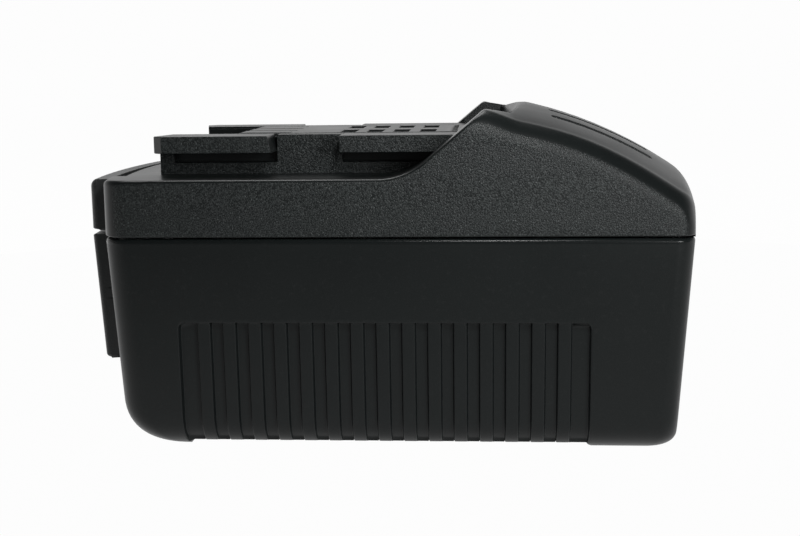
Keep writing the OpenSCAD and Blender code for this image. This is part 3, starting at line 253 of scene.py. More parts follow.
def upperBody():
    p = upperShell
    frontArc, rearArc = bows["frontCorner"], bows["rearCorner"]
    frontTurn, rearTurn, frontCentre, rearCentre = cornerArcs(front, rear, halfWidth)
    # Stations: where each row ends on the outline, how far it bows, how far it follows the notch
    step = np.array([0, .04, .12, .25, .42, .62, .85, 1.1, 1.4, 1.9, 2.6, 3.4, 4.3])
    turn = np.append(np.arccos(1 - step / frontArc), np.pi / 2 - frontTurn) + frontTurn
    frontX, frontY = frontCentre - frontArc * np.cos(turn), halfWidth - frontArc + frontArc * np.sin(turn)
    foot = slopeStart - front
    footRows = foot - footHalf + p["slopeFoot"] * np.sin(np.radians(np.linspace(0, p["slope"], 9)))
    crest = p["crest"] - front
    floorStart = foot + (railTop - deck) / slopeTan
    back = crest + p["notchSide"]
    vent = crest + p["ventStart"]
    ventEnd = vent + p["ventLength"]
    endRound = np.array([-.3, -.12, -.02, .02, .1, .28, .6, .95, 1.3])
    middle = np.concatenate([
        [9.6, 11.4, 13.2],
        p["boltLow"] - np.array([.5, .3, .14, .02]), p["boltLow"] + np.array([.02, .3]), [20.0],
        p["boltHigh"] - np.array([.3, .02]), p["boltHigh"] + np.array([.02, .14, .3, .5]),
        [30, 38, 46, 54], footRows,
        [floorStart - .02, floorStart + .02], crest + np.linspace(-9.2, -1.6, 20),
        crest + np.array([-1.0, -.6, -.35, -.15, 0, .2, .45, .8, 1.2, 1.7, 2.2, 2.7, 3.3, 4.0]),
        back + np.array([-.5, -.02, .02, .1, .24, .45, .8, 2.0, 3.8, 5.8]),
        vent + endRound, np.linspace(vent + 3.5, ventEnd - 3.5, 5), (ventEnd - endRound)[::-1]])
    middle = front + np.sort(middle)
    step = np.array([0, .02, .07, .15, .27, .43, .64, .9, 1.25, 1.7, 2.3, 2.95])
    turn = (np.append(np.arccos(1 - step / rearArc), np.pi / 2 - rearTurn) + rearTurn)[::-1]
    rearX, rearY = rearCentre + rearArc * np.cos(turn), halfWidth - rearArc + rearArc * np.sin(turn)
    endX = np.concatenate([frontX, middle, rearX])
    endY = np.concatenate([frontY, np.full(len(middle), halfWidth), rearY])
    reach = p["bowReach"]
    frontBow = np.clip((front + reach - endX) / (reach - (frontX[-1] - front)), 0, 1)
    bowFrom = p["crest"] + p["rearBowFrom"]
    rearBow = ease((endX - bowFrom) / (rearCentre - bowFrom))
    notchPull = ease((endX - p["crest"] - p["pullFrom"]) / (p["notchSide"] - p["pullSpare"]))
    notchPull = notchPull * (1 - ease((endX - front - back - p["pullHold"]) / p["pullFade"]))
    # Columns: fixed lines where openings lie, then lines that follow the shoulder
    slit = np.array([-1.6, -1.42, -1.32, -1.28, -1.1, -.85, -.5, 0, .5, .85, 1.1, 1.28, 1.32, 1.42, 1.6])
    bolt = p["boltHalf"] + np.array([-.3, -.02, .02, .14])
    rimLines = [23, 24.2, 24.9, 25.3, 25.5, 25.68, 25.72, 25.9,
                26.2, 26.5, 26.68, 26.72, 26.8, 26.95, 27.2, 28.6]
    fixed = np.concatenate([slit[7:], [3, 5.5], bolt, p["ventPitch"] + slit[1:], [13.5, 16],
                            2 * p["ventPitch"] + slit, rimLines])
    edge = np.array([1.08, .94, .78, .62, .46, .32, .2, .11, .05, .015, 0])
    rowX = endX - frontBow * sag(bows["front"], endY) + rearBow * sag(bows["rear"], endY)
    grown = ease((endX - p["crest"] + p["shoulderLead"]) / p["shoulderRun"])
    radius = p["deckEdge"] + (p["shoulder"] - p["deckEdge"]) * grown
    outer = endY[:, None] - radius[:, None] * edge[None]
    gap = fixed[-1] + (outer[:, :1] - fixed[-1]) * np.array([[.35, .7]])
    half = np.concatenate([np.broadcast_to(fixed, (len(endX), len(fixed))), gap, outer], axis=1)
    y = np.concatenate([-half[:, :0:-1], half], axis=1)
    wide = np.abs(y)
    # Rows bow with the ends, run round the notch, and start behind the mouth of the release button
    station, start = rowX[:, None], (rowX - front)[:, None]
    inMouth = wide < p["mouthHalf"]
    pressed = p["mouthDepth"] + start * (reach - p["mouthDepth"]) / reach
    along = np.where(inMouth & (start < reach), pressed, start)
    x = front + along + frontBow[:, None] * sag(bows["front"], y) - rearBow[:, None] * sag(bows["rear"], y)
    inNotch, pull = wide < p["notchHalf"], notchPull[:, None]
    x = x + np.where(inNotch, pull * notchEdge(y), 0)
    acrossX = np.where(np.abs(pull) > 0, x, station)
    shoulder = endY[:, None] - radius[:, None]
    crown = (p["notchHalf"] ** 2 - np.minimum(wide, shoulder) ** 2) / (2 * p["crownRadius"])
    crown = crown * ease((station - p["crest"]) / (p["notchSide"] + p["notchBow"]))
    # Edges: front and corners by distance to the outline, long sides by the shoulder's own round
    farAway = 99  # a gap at which no edge is felt
    bowGap = bows["front"] - np.hypot(x - front - bows["front"], y)
    frontGap = np.where(inMouth, along - p["mouthDepth"], bowGap)
    offX, offY = x - frontCentre, wide - (halfWidth - frontArc)
    inCorner = (offX < 0) & (offY * np.cos(frontTurn) + offX * np.sin(frontTurn) > 0)
    frontGap = np.where(inCorner, np.minimum(frontArc - np.hypot(offX, offY), frontGap), frontGap)
    onDeck = station < front + p["deckEnd"]
    sideGap = np.where(onDeck, np.where(inCorner, farAway, halfWidth - wide), endY[:, None] - wide)
    edgeDrop = roundOff(np.where(onDeck, p["deckEdge"], p["slopeEdge"]), sideGap)
    z = topProfile(acrossX, edgeDrop, roundOff(p["shoulder"], sideGap))
    z = z + crown - roundOff(np.where(inMouth, p["mouthEdge"], p["deckEdge"]), frontGap)
    # Openings: notch floor, vent slits, well of the latch bolt
    back = front + back + notchEdge(y)
    beside = wide - p["notchHalf"]
    rimGap = np.where(inNotch, x - back, np.where(station > p["crest"] - p["rimFrom"], beside, farAway))
    rimGap = np.where(~inNotch & (x > front + crest + p["notchSide"]),
                      np.hypot(x - front - crest - p["notchSide"], beside), rimGap)
    leaning = z - p["notchStep"] - (back - x) / np.tan(np.radians(p["notchLean"]))
    rimmed = z - roundOff(p["notchRim"], np.maximum(rimGap, 0))
    z = np.where(inNotch & (x < back), np.minimum(z, np.maximum(leaning, railTop - p["floorDrop"])), rimmed)
    ventMiddle = front + vent + p["ventLength"] / 2
    nearest = np.round(np.clip(y / p["ventPitch"], -2, 2)) * p["ventPitch"]
    beyond = np.maximum(np.abs(x - ventMiddle) - p["ventLength"] / 2 + p["ventHalf"], 0)
    ventGap = np.hypot(beyond, y - nearest) - p["ventHalf"]
    z = np.where(ventGap < 0, z - p["ventDepth"], z - roundOff(p["openingEdge"], np.maximum(ventGap, 0)))
    boltGap = np.maximum(front + p["boltLow"] - x, x - front - p["boltHigh"])
    boltGap = np.maximum(boltGap, wide - p["boltHalf"])
    z = np.where(boltGap < 0, p["boltFloor"], z - roundOff(p["openingEdge"], np.maximum(boltGap, 0)))
    top = np.stack([x, y, z], axis=-1).reshape(-1, 3)
    # Wall under the rim of the grid, with the hollow behind the mouth, then inwards and up to the inner roof
    loop = rimLoop(*y.shape)
    rim = top[loop]
    mouthRim = (np.abs(rim[:, 1]) < p["mouthHalf"]) & (rim[:, 0] < 0)
    gapZ = seam + p["seamGap"]

    def wallRing(height, inset, behind=True):
        ring = rim.copy()
        ring[:, 2] = np.minimum(height, rim[:, 2])
        ring[:, 0] = np.where(mouthRim & behind, front + p["mouthBack"], ring[:, 0])
        offMiddle = np.abs(ring[:, 1])
        drawn = np.stack([offMiddle < p["endsHalf"], offMiddle > p["roofHalf"]], axis=1)
        ring[:, :2] -= inset * np.sign(ring[:, :2]) * drawn
        return ring

    rings = [wallRing(p["mouthRoof"], 0, False)]
    rings += [wallRing(height, inset) for height, inset in (
        (p["mouthRoof"] - .05, 0), (deck - 5.9, 0), (seam + 2.7, 0), (gapZ + .3, 0), (gapZ + .1, .08),
        (gapZ, .3), (gapZ, p["wall"]))]
    inner = rings[-1].copy()
    inner[:, 0] = np.minimum(inner[:, 0], p["roofEnd"])
    inner[:, 1], inner[:, 2] = np.clip(inner[:, 1], -p["roofHalf"], p["roofHalf"]), p["roof"]
    rings.append(inner)
    points = np.concatenate([top] + rings)
    lean = (points[:, 2] - seam) * np.tan(np.radians(p["draft"]))
    share = np.clip((np.abs(points[:, 1]) - fixed[-1]) / (halfWidth - fixed[-1]), 0, 1)
    points[:, 1] -= np.sign(points[:, 1]) * share * lean
    walls = np.concatenate([loop, y.size + np.arange(len(rings) * len(loop))]).reshape(-1, len(loop))
    return points, gridQuads(*y.shape) + bandQuads(walls) + [walls[-1].tolist()]


# Rails and contact block, standing on the deck
rails = {
    "half": 27.5, "web": 21.0, "webThick": 4.0, "start": 11.3, "frontEnd": 36.0, "rearStart": 49.7,
    "end": 73.3, "slant": 0.9, "slantFrom": 30, "chamfer": 2.0, "lead": 1.9, "edge": 0.2, "base": deck - 1,
    "reliefLow": deck + 2.35, "reliefDeep": 2.4, "reliefStart": 14.3, "blockStart": 26.7, "blockOverlap": 0.7,
    "slotHalf": 0.9, "slotLength": 11.0, "contactPitch": 8.8, "slotFloor": deck + 0.8,
    "windowStart": 48.2, "windowLength": 3.3, "windowPitch": 5.7, "windowMiddle": 8.8, "windowHalf": 5.25,
    "pit": 2.6, "pitEdge": 0.3,
}


def slantEnd(shell):  # leans the end of a flange back as it rises
    points, faces = shell
    rise = np.clip((points[:, 2] - railUnder) / (railTop - railUnder), 0, 1)
    points[:, 0] -= np.where(points[:, 0] > front + rails["slantFrom"], rails["slant"] * rise, 0)
    return points, faces


def railShells(side):
    # Each rail: two flanges, an upright web with its undercut left open, and a core behind the undercut
    r = rails
    inner, base, cut, hidden = r["web"] - r["webThick"], r["base"], r["chamfer"], 0.01

    def plan(corners):  # an outline on the right is mirrored and reversed for the left
        corners = [(front + x, side * y) for x, y in corners]
        return corners if side > 0 else corners[::-1]

    def bar(x0, x1, y0, y1, z0, z1):
        return prism(plan([(x0, y0), (x1, y0), (x1, y1), (x0, y1)]), r["edge"], z0, z1, r["edge"])

    flange = plan([(r["start"] + r["lead"], inner), (r["frontEnd"], inner), (r["frontEnd"], r["half"]),
                   (r["start"] + cut, r["half"]), (r["start"], r["half"] - cut)])
    low, high, upper = r["reliefLow"], railUnder + .5, railTop - hidden
    web = [(r["start"], base), (r["end"], base), (r["end"], low), (r["rearStart"], low),
           (r["rearStart"], upper), (r["frontEnd"], upper), (r["frontEnd"], low),
           (r["reliefStart"], low), (r["reliefStart"], high), (r["start"], high)]
    across = sorted([side * (inner + .5), side * r["web"]])
    return [
        slantEnd(prism(flange, r["edge"], railUnder, railTop, r["edge"])),
        bar(r["rearStart"], r["end"], inner, r["half"], railUnder, railTop),
        prism([(front + x, z) for x, z in web], .3, across[0], across[1], r["edge"], axis="y"),
        bar(r["start"] + r["lead"] + .2, r["end"] - .1, inner - .3, r["web"] - r["reliefDeep"],
            base - .1, railTop - .5),
    ]


def contactBlock():
    # Height field over the block: flat top, quarter-round rim, pits for the slots and the windows
    r = rails
    x0, x1, half = front + r["blockStart"], front + r["end"], r["web"] - r["webThick"] + r["blockOverlap"]
    near = np.array([-.3, -.14, -.02, .02])
    windows = front + r["windowStart"] + r["windowPitch"] * np.arange(4)
    xLines = [x0 + np.array([0, .02, .08, .18, .35]), [x1],
              x0 + r["slotLength"] + np.array([-.02, .02, .14, .3])]
    xLines += [w + near for w in windows] + [w + r["windowLength"] - near[::-1] for w in windows]
    x = np.unique(np.round(np.concatenate(xLines), 4))
    contacts = r["contactPitch"] * np.array([-1.5, -.5, .5, 1.5])
    rows = np.array([-1, 1]) * r["windowMiddle"]
    yLines = [[-half, 0, half]]
    for middles, reach in ((contacts, r["slotHalf"]), (rows, r["windowHalf"])):
        yLines += [c - reach + near for c in middles] + [c + reach - near[::-1] for c in middles]
    y = np.unique(np.round(np.concatenate(yLines), 4))
    xx, yy = np.meshgrid(x, y, indexing="ij")
    z = railTop - roundOff(r["edge"], xx - x0)
    contact = contacts[np.argmin(np.abs(yy[..., None] - contacts), axis=-1)]
    slotGap = np.maximum(np.abs(yy - contact) - r["slotHalf"], xx - x0 - r["slotLength"])
    z = np.where(slotGap < 0, r["slotFloor"], z - roundOff(r["pitEdge"], np.maximum(slotGap, 0)))
    windowX = windows[np.argmin(np.abs(xx[..., None] - windows - r["windowLength"] / 2), axis=-1)]
    windowGap = np.maximum(np.abs(xx - windowX - r["windowLength"] / 2) - r["windowLength"] / 2,
                           np.abs(np.abs(yy) - r["windowMiddle"]) - r["windowHalf"])
    z = np.where(windowGap < 0, railTop - r["pit"], z - roundOff(r["pitEdge"], np.maximum(windowGap, 0)))
    top = np.stack([xx, yy, z], axis=-1).reshape(-1, 3)
    base = np.stack([xx, yy, np.full_like(z, r["base"])], axis=-1).reshape(-1, 3)
    loop = rimLoop(*xx.shape)
    walls = np.stack([loop, loop + xx.size])
    return np.concatenate([top, base]), gridQuads(*xx.shape) + bandQuads(walls) + [walls[1].tolist()]


addPiece("upperShell", [upperBody(), contactBlock()] + railShells(1) + railShells(-1),
         "pack", "casing_textured", ["upper_casing"])

# Tub of the lower casing with its ribbed panels and feet
lowerShell = {
    "frontDraft": 3.4, "rearDraft": 3.7, "sideDraft": 2.1, "frontRound": 10.0, "rearRound": 4.0,
    "sideRound": 7.5, "rimEdge": 0.8, "wall": 2.4, "innerFloor": 6.0, "innerShare": 0.9,
    "foot": 1.6, "footFront": (17.8, 19.2), "footRear": (99.5, 100.6),
    "panelStart": 17.8, "panelLength": 82.0, "panelTop": 27.0, "panelCorner": 1.4, "sideBand": 12,
    "ribs": 15, "pitch": 5.13, "rib": 2.6, "floorDepth": 1.3, "ribDepth": 0.3, "grooveEnd": 0.7,
    "wellRadius": 2.8, "towerRadius": 3.05, "wellTop": seam - 4, "towerFoot": 4.0,
    "wellFront": 11.4, "wellRear": 7.2, "wellSide": 9.2, "window": ((-2.4, 5.2), 18.5, (-23.0, -5.0)),
    "sideLines": (102.5, 104.5, 107.0), "endsFrom": 50, "middleHalf": 6,
}


def tubOutline(z, sideX):
    # Half outline at each height, from the middle of the front round to the middle of the rear
    p, z = lowerShell, z[:, None]
    drop = seam - z
    x0 = front + drop * np.tan(np.radians(p["frontDraft"])) + roundOff(p["frontRound"], z)
    x1 = rear - drop * np.tan(np.radians(p["rearDraft"])) - roundOff(p["rearRound"], z)
    half = halfWidth - drop * np.tan(np.radians(p["sideDraft"])) - roundOff(p["sideRound"], z)
    rf, rr, bf, br = bows["frontCorner"], bows["rearCorner"], bows["front"], bows["rear"]
    frontTurn, rearTurn, frontCentre, rearCentre = cornerArcs(x0, x1, half)
    a = frontTurn * np.linspace(0, 1, 9)
    xFront, yFront = x0 + bf - bf * np.cos(a), bf * np.sin(a)
    a = frontTurn + (np.pi / 2 - frontTurn) * np.linspace(0, 1, 13)[1:]
    xCorner, yCorner = frontCentre - rf * np.cos(a), half - rf + rf * np.sin(a)
    xSide = np.clip(sideX, frontCentre + .01, rearCentre - .01)
    ySide = np.broadcast_to(half, xSide.shape)
    a = rearTurn + (np.pi / 2 - rearTurn) * (1 - np.linspace(0, 1, 11))
    xBack, yBack = rearCentre + rr * np.cos(a), half - rr + rr * np.sin(a)
    a = rearTurn * (1 - np.linspace(0, 1, 8)[1:])
    xRear, yRear = x1 - br + br * np.cos(a), br * np.sin(a)
    x = np.concatenate([xFront, xCorner, xSide, xBack, xRear], axis=1)
    y = np.concatenate([yFront, yCorner, ySide, yBack, yRear], axis=1)
    return x, y


def tubBody():
    p = lowerShell
    panel0, panel1 = front + p["panelStart"], front + p["panelStart"] + p["panelLength"]
    first = (panel0 + panel1 - (p["ribs"] - 1) * p["pitch"] - p["rib"]) / 2
    ribLow = first + p["pitch"] * np.arange(p["ribs"])
    ribHigh = ribLow + p["rib"]
    offset = np.array([-.3, -.1, 0, .1, .2, .35])
    ribEdges = np.concatenate([ribHigh[:, None] + offset, ribLow[:, None] - offset]).ravel()
    middles = np.append(ribLow + p["rib"] / 2, ribHigh[:-1] + (p["pitch"] - p["rib"]) / 2)
    edges = np.concatenate([ribEdges, panel0 + offset, panel1 - offset, middles])
    steps = front + np.array(p["footFront"] + p["footRear"] + p["sideLines"])
    sideX = np.unique(np.round(np.concatenate([edges, steps]), 4))
    # Heights: close together on the lower round, at the panel's upper edge and at the rim
    level = np.concatenate([
        [0, .03, .1, .22, .4, .65, .95, 1.25, 1.6, 1.9, 2.3, 2.7, 3.2, 3.8, 4.5, 5.3, 6.2, 7.2, 8.3],
        [9.4, 10.4, 14, 17, 20],
        p["panelTop"] - np.array([3.0, 2.0, 1.5, 1.2, .9, .6, .35, .2, .1, 0, -.1, -.3, -.8]),
        [30, 34, 38, 41, seam - .9], seam - p["rimEdge"] * np.array([1, .62, .29, .08, 0])])
    x, y = tubOutline(level, sideX)
    z = np.broadcast_to(level[:, None], x.shape).copy()
    # Panel: inside distance from its rounded outline, floor depth there, ribs rising out of the floor
    onSide = (x > panel0 - 1) & (x < panel1 + 1) & (y > halfWidth - p["sideBand"])
    outX = np.abs(x - (panel0 + panel1) / 2) - (panel1 - panel0) / 2 + p["panelCorner"]
    outZ = z - p["panelTop"] + p["panelCorner"]
    beyond = np.hypot(np.maximum(outX, 0), np.maximum(outZ, 0))
    inside = p["panelCorner"] - beyond - np.minimum(np.maximum(outX, outZ), 0)
    ribGap = np.min(np.maximum(ribLow - x[..., None], x[..., None] - ribHigh), axis=-1)
    step = [0, .04, .2, .82, .97, 1]  # rounded edge, steep wall, rounded foot
    depth = p["ribDepth"] + (p["floorDepth"] - p["ribDepth"]) * np.interp(ribGap, offset, step)
    # Grooves run straight down at their lower ends
    straight = np.interp(p["foot"] + p["grooveEnd"], level, y[:, len(y[0]) // 2])
    atEnd = (ribGap > .1) & (level[:, None] < p["foot"] + p["grooveEnd"])
    ended = np.where(atEnd, np.maximum(y, straight), y)
    y = np.where(onSide, np.minimum(y, ended - np.interp(inside, offset, step) * depth), y)
    # Rim drawn in at the seam, feet cut level from below
    drawIn = roundOff(p["rimEdge"], seam - level)[:, None]
    y = y - drawIn * np.clip(y / p["middleHalf"], 0, 1)
    x = x + drawIn * np.sign(-x) * (np.abs(x) > p["endsFrom"])
    rise = np.interp(x, [front + s for s in p["footFront"] + p["footRear"]], [0, 1, 1, 0]) * p["foot"]
    z = np.maximum(z, rise)
    # Underside straight across from side to side
    underY = y[0] * np.array([.85, .6, .3, 0])[:, None]
    underX, underZ = np.broadcast_to(x[0], underY.shape), np.broadcast_to(rise[0], underY.shape)
    # Inner wall and floor, so that the tub is a closed vessel
    innerX = x[-1] - np.sign(x[-1]) * p["wall"] * (np.abs(x[-1]) > p["endsFrom"])
    innerY = np.maximum(y[-1] - p["wall"] * np.clip(y[-1] / p["middleHalf"], 0, 1), 0)
    share = p["innerShare"]
    insideX = np.stack([innerX, innerX, innerX * share, innerX * share])
    insideY = np.stack([innerY, innerY, innerY * share, 0 * innerY])
    heights = (seam - .02, seam - 2, p["innerFloor"], p["innerFloor"])
    insideZ = np.stack([np.full_like(innerX, h) for h in heights])
    bands = ((insideX, x, underX), (insideY, y, underY), (insideZ, z, underZ))
    right = np.stack([np.concatenate([a[::-1], b[::-1], c]) for a, b, c in bands], axis=-1)
    grid = np.concatenate([right, right[-2::-1] * np.array([1, -1, 1])])
    return grid.reshape(-1, 3), gridQuads(grid.shape[0], grid.shape[1])


def pillar(x, y, radius, low, high):  # upright cylinder, closed at both ends
    a = np.radians(np.arange(0, 360, 11.25))
    circle = np.stack([x + radius * np.cos(a), y + radius * np.sin(a)], axis=-1)
    points = np.concatenate([np.column_stack([circle, np.full(len(a), z)]) for z in (low, high)])
    ends = [list(range(len(a)))[::-1], list(range(len(a), 2 * len(a)))]
    return points, gridQuads(2, len(a), wrap=True) + ends


def screwWells(radius, low, high):  # a pillar at each of the four casing screws
    p = lowerShell
    return [pillar(x, side * (halfWidth - p["wellSide"]), radius, low, high) for side in (1, -1)
            for x in (front + p["wellFront"], rear - p["wellRear"])]


def leanFront(points):  # from the leaning frame of the front end to the frame of the part
    a = np.radians(lowerShell["frontDraft"])
    u, y, v = points[:, 0], points[:, 1], points[:, 2]
    return np.stack([front + u * np.cos(a) - v * np.sin(a), y, seam + u * np.sin(a) + v * np.cos(a)], axis=-1)


def frontBlock(u, half, v):  # box in the leaning frame of the front end, for openings
    around = ((u[0], -half), (u[1], -half), (u[1], half), (u[0], half))
    corners = np.array([(a, b, c) for c in v for a, b in around])
    return leanFront(corners), gridQuads(2, 4, wrap=True) + [[3, 2, 1, 0], [4, 5, 6, 7]]


towers = screwWells(lowerShell["towerRadius"], lowerShell["towerFoot"], lowerShell["wellTop"] + 2)
wells = screwWells(lowerShell["wellRadius"], -1, lowerShell["wellTop"])
addPiece("lowerShell", [tubBody()], "pack", "casing_satin", ["lower_casing"],
         [("UNION", towers), ("DIFFERENCE", wells + [frontBlock(*lowerShell["window"])])])

# Release button: bowed face with round edges at the side, below and above, step under the deck
releaseButton = {
    "half": 25.4, "proud": 4.2, "drop": 0.6, "edges": (1.6, 0.4, 1.6), "low": seam + .35,
    "step": deck - 2.7, "ledge": 0.2, "back": 5.0,
}


def padLines(half, low, high, edges):
    # Grid lines of a pad's front skin, closer together along its round edges: side, lower and upper
    near = .98 * np.square(np.linspace(0, 1, 9)) + .02 * np.linspace(0, 1, 9)
    plain = np.linspace(-half, half, 15)[2:-2]
    across = np.concatenate([edges[0] * near - half, plain, half - edges[0] * near])
    up = np.concatenate([low + edges[1] * near, np.linspace(low, high, 9)[2:-2], high - edges[2] * near])
    return across, up


def padFace(yy, zz, half, low, high, edges):
    # Bow of the front end, set in by quarter rounds that are lower or flatter along the lower and upper edge
    inside = np.minimum((zz - low) / edges[1], (high - zz) / edges[2]) * edges[0]
    short = np.hypot(np.maximum(edges[0] - half + np.abs(yy), 0), np.maximum(edges[0] - inside, 0))
    return sag(bows["front"], yy) + roundOff(edges[0], edges[0] - np.minimum(short, edges[0]))


def buttonBody():
    # Bowed face with round edges, and a back that reaches inside below the step and follows the bow above it
    p = releaseButton
    size = (p["half"], p["low"], deck - p["drop"], p["edges"])
    across, up = padLines(*size)
    up = np.append(up, [p["step"] - .02, p["step"] + .02])
    yy, zz = np.meshgrid(np.unique(np.round(across, 5)), np.unique(np.round(up, 5)), indexing="xy")
    xx = padFace(yy, zz, *size) - p["proud"]
    backX = np.where(zz > p["step"], p["ledge"] + sag(bows["front"], yy), p["back"])
    return closedPad(np.stack([front + xx, yy, zz], axis=-1), np.stack([front + backX, yy, zz], axis=-1))


addPiece("releaseButton", [buttonBody()], "button", "trim", ["release_button"])

# Gauge panel in the leaning frame of the front end: bowed plate with light windows and a button hole
gaugePanel = {
    "half": 25.4, "proud": 4.2, "top": 0.3, "height": 26.6, "edges": (1.2, 0.9, 0.4), "middle": -13.0,
    "lights": (-13.0, -7.5, -2.0, 3.5), "lightHalf": (1.8, 1.0), "buttonY": 12.0, "buttonRadius": 3.15,
    "deep": 3.3, "holeEdge": 0.25, "cavity": ((-2.30, 3.0), 17.0, (-24.2, -3.0)),
}


def panelBody():
    # Bowed face as on the button, set back by one depth inside the windows and the hole, with round rims
    p = gaugePanel
    size = (p["half"], -p["top"] - p["height"], -p["top"], p["edges"])
    across, up = padLines(*size)
    near = np.array([-.25, -.1, -.02, .02])
    hole = np.linspace(-1, 1, 17) * (p["buttonRadius"] + .3)
    lights, (lightY, lightV) = np.array(p["lights"]), p["lightHalf"]
    yLines = np.concatenate([across, (lights[:, None] - lightY + near).ravel(),
                             (lights[:, None] + lightY - near).ravel(), p["buttonY"] + hole])
    vLines = np.concatenate([up, p["middle"] - lightV + near, p["middle"] + lightV - near,
                             p["middle"] + hole])
    yy, vv = np.meshgrid(np.unique(np.round(yLines, 4)), np.unique(np.round(vLines, 4)), indexing="xy")
    uu = padFace(yy, vv, *size) - p["proud"]
    light = lights[np.argmin(np.abs(yy[..., None] - lights), axis=-1)]
    lightGap = np.maximum(np.abs(yy - light) - lightY, np.abs(vv - p["middle"]) - lightV)
    holeGap = np.hypot(yy - p["buttonY"], vv - p["middle"]) - p["buttonRadius"]
    gap = np.minimum(lightGap, holeGap)
    uu = np.where(gap < 0, uu + p["deep"], uu + roundOff(p["holeEdge"], np.maximum(gap, 0)))
    back = np.stack([sag(bows["front"], yy) - .03, yy, vv], axis=-1)
    points, faces = closedPad(np.stack([uu, yy, vv], axis=-1), back)
    return leanFront(points), faces


addPiece("gaugePanel", [panelBody()], "pack", "trim", ["gauge_panel"],
         [("DIFFERENCE", [frontBlock(*gaugePanel["cavity"])])])

# Coil spring under the latch bolt: stands for its node
latchSpring = {"turns": 6, "wire": 0.66, "travel": 2.8}


def springBody():
    # Helix of round wire: the centre line climbs evenly from the lower to the upper end
    p = latchSpring
    low, high = (np.array(corner) * 1000 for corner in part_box("latch_spring"))
    centre, wire = (low + high) / 2, p["wire"] / 2
    t = np.linspace(0, 1, 24 * p["turns"] + 1)[:, None]
    a, b = 2 * np.pi * p["turns"] * t, np.radians(np.arange(0, 360, 36))[None]
    reach = high[1] - centre[1] - wire + wire * np.cos(b)
    climb = low[2] + wire + (high[2] - low[2] - 2 * wire) * t
    points = np.stack([centre[0] + reach * np.cos(a), centre[1] + reach * np.sin(a),
                       climb + wire * np.sin(b)], axis=-1)
    rows, columns = points.shape[:2]
    last = rows * columns
    ends = [list(range(columns)), list(range(last - columns, last))]
    return points.reshape(-1, 3), gridQuads(rows, columns, wrap=True) + ends


spring = addPiece("latchSpring", [springBody()], "pack", "spring_steel", ["latch_spring"])
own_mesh(spring)


# Shared shader groups: one for moulded grain, one for light handling wear and dust
def newGroup(name, inputs, outputs):
    group = bpy.data.node_groups.new(name, "ShaderNodeTree")
    for label, value in inputs:
        group.interface.new_socket(label, in_out="INPUT", socket_type="NodeSocketFloat").default_value = value
    for label in outputs:
        group.interface.new_socket(label, in_out="OUTPUT", socket_type="NodeSocketFloat")
    return group, group.nodes.new("NodeGroupInput"), group.nodes.new("NodeGroupOutput")


def feed(tree, socket, value):  # numbers and colours are set on the socket, outputs are linked to it
    if isinstance(value, (int, float)):
        socket.default_value = value
    elif isinstance(value, tuple):
        socket.default_value = value + (1.0,)
    else:
        tree.links.new(value, socket)


def mathNode(tree, kind, first, second=None, clamp=False):
    node = tree.nodes.new("ShaderNodeMath")
    node.operation, node.use_clamp = kind, clamp
    feed(tree, node.inputs[0], first)
    if second is not None:
        feed(tree, node.inputs[1], second)
    return node.outputs[0]


def rangeNode(tree, value, low, high, outLow=0.0, outHigh=1.0):
    node = tree.nodes.new("ShaderNodeMapRange")
    node.inputs["From Min"].default_value, node.inputs["From Max"].default_value = low, high
    node.inputs["To Min"].default_value, node.inputs["To Max"].default_value = outLow, outHigh
    tree.links.new(value, node.inputs["Value"])
    return node.outputs[0]


def axesOf(tree, source):  # the three axes of a texture coordinate
    split = tree.nodes.new("ShaderNodeSeparateXYZ")
    tree.links.new(tree.nodes.new("ShaderNodeTexCoord").outputs[source], split.inputs["Vector"])
    return split.outputs


def noiseNode(tree, where, scale, detail=2.0):
    node = tree.nodes.new("ShaderNodeTexNoise")
    node.inputs["Detail"].default_value = detail
    tree.links.new(where, node.inputs["Vector"])
    feed(tree, node.inputs["Scale"], scale)
    return node.outputs["Fac"]


grainMasks = {"upright": (0.84, 0.93), "outer": (0.0188, 0.0198), "speckle": (0.4, 0.68),
              "chosen": (0.6, 0.98), "dot": (0.45, 0.1), "cloudScale": 60.0, "cloudDetail": 4.0}


def grainGroup():
    # Spark-eroded mould grain: fine noise and small pips from a cell pattern, all over or only where
    # the surface stands upright and lies far from the middle plane, in metres
    g = grainMasks
    group, inside, outside = newGroup("mouldGrain", [("Size", 2600.0), ("Pips", 1500.0), ("All Over", 0.0)],
                                      ["Height", "Pip", "Speckle", "Cloud", "Grained"])
    where = group.nodes.new("ShaderNodeTexCoord").outputs["Object"]
    upright = rangeNode(group, mathNode(group, "ABSOLUTE", axesOf(group, "Normal")["Y"]), *g["upright"])
    outer = rangeNode(group, mathNode(group, "ABSOLUTE", axesOf(group, "Object")["Y"]), *g["outer"])
    onSides = mathNode(group, "MULTIPLY", upright, outer)
    grained = mathNode(group, "MAXIMUM", onSides, inside.outputs["All Over"])
    fine = noiseNode(group, where, inside.outputs["Size"])
    speckle = mathNode(group, "MULTIPLY", rangeNode(group, fine, *g["speckle"]), grained)
    cells = group.nodes.new("ShaderNodeTexVoronoi")
    group.links.new(where, cells.inputs["Vector"])
    group.links.new(inside.outputs["Pips"], cells.inputs["Scale"])
    split = group.nodes.new("ShaderNodeSeparateColor")
    group.links.new(cells.outputs["Color"], split.inputs["Color"])
    chosen = rangeNode(group, split.outputs["Red"], *g["chosen"])
    dot = rangeNode(group, cells.outputs["Distance"], *g["dot"])
    pip = mathNode(group, "MULTIPLY", mathNode(group, "MULTIPLY", chosen, dot, True), grained)
    results = {"Height": mathNode(group, "ADD", speckle, pip), "Pip": pip, "Speckle": speckle,
               "Cloud": noiseNode(group, where, g["cloudScale"], g["cloudDetail"]), "Grained": grained}
    for label, value in results.items():
        group.links.new(value, outside.inputs[label])
    return group


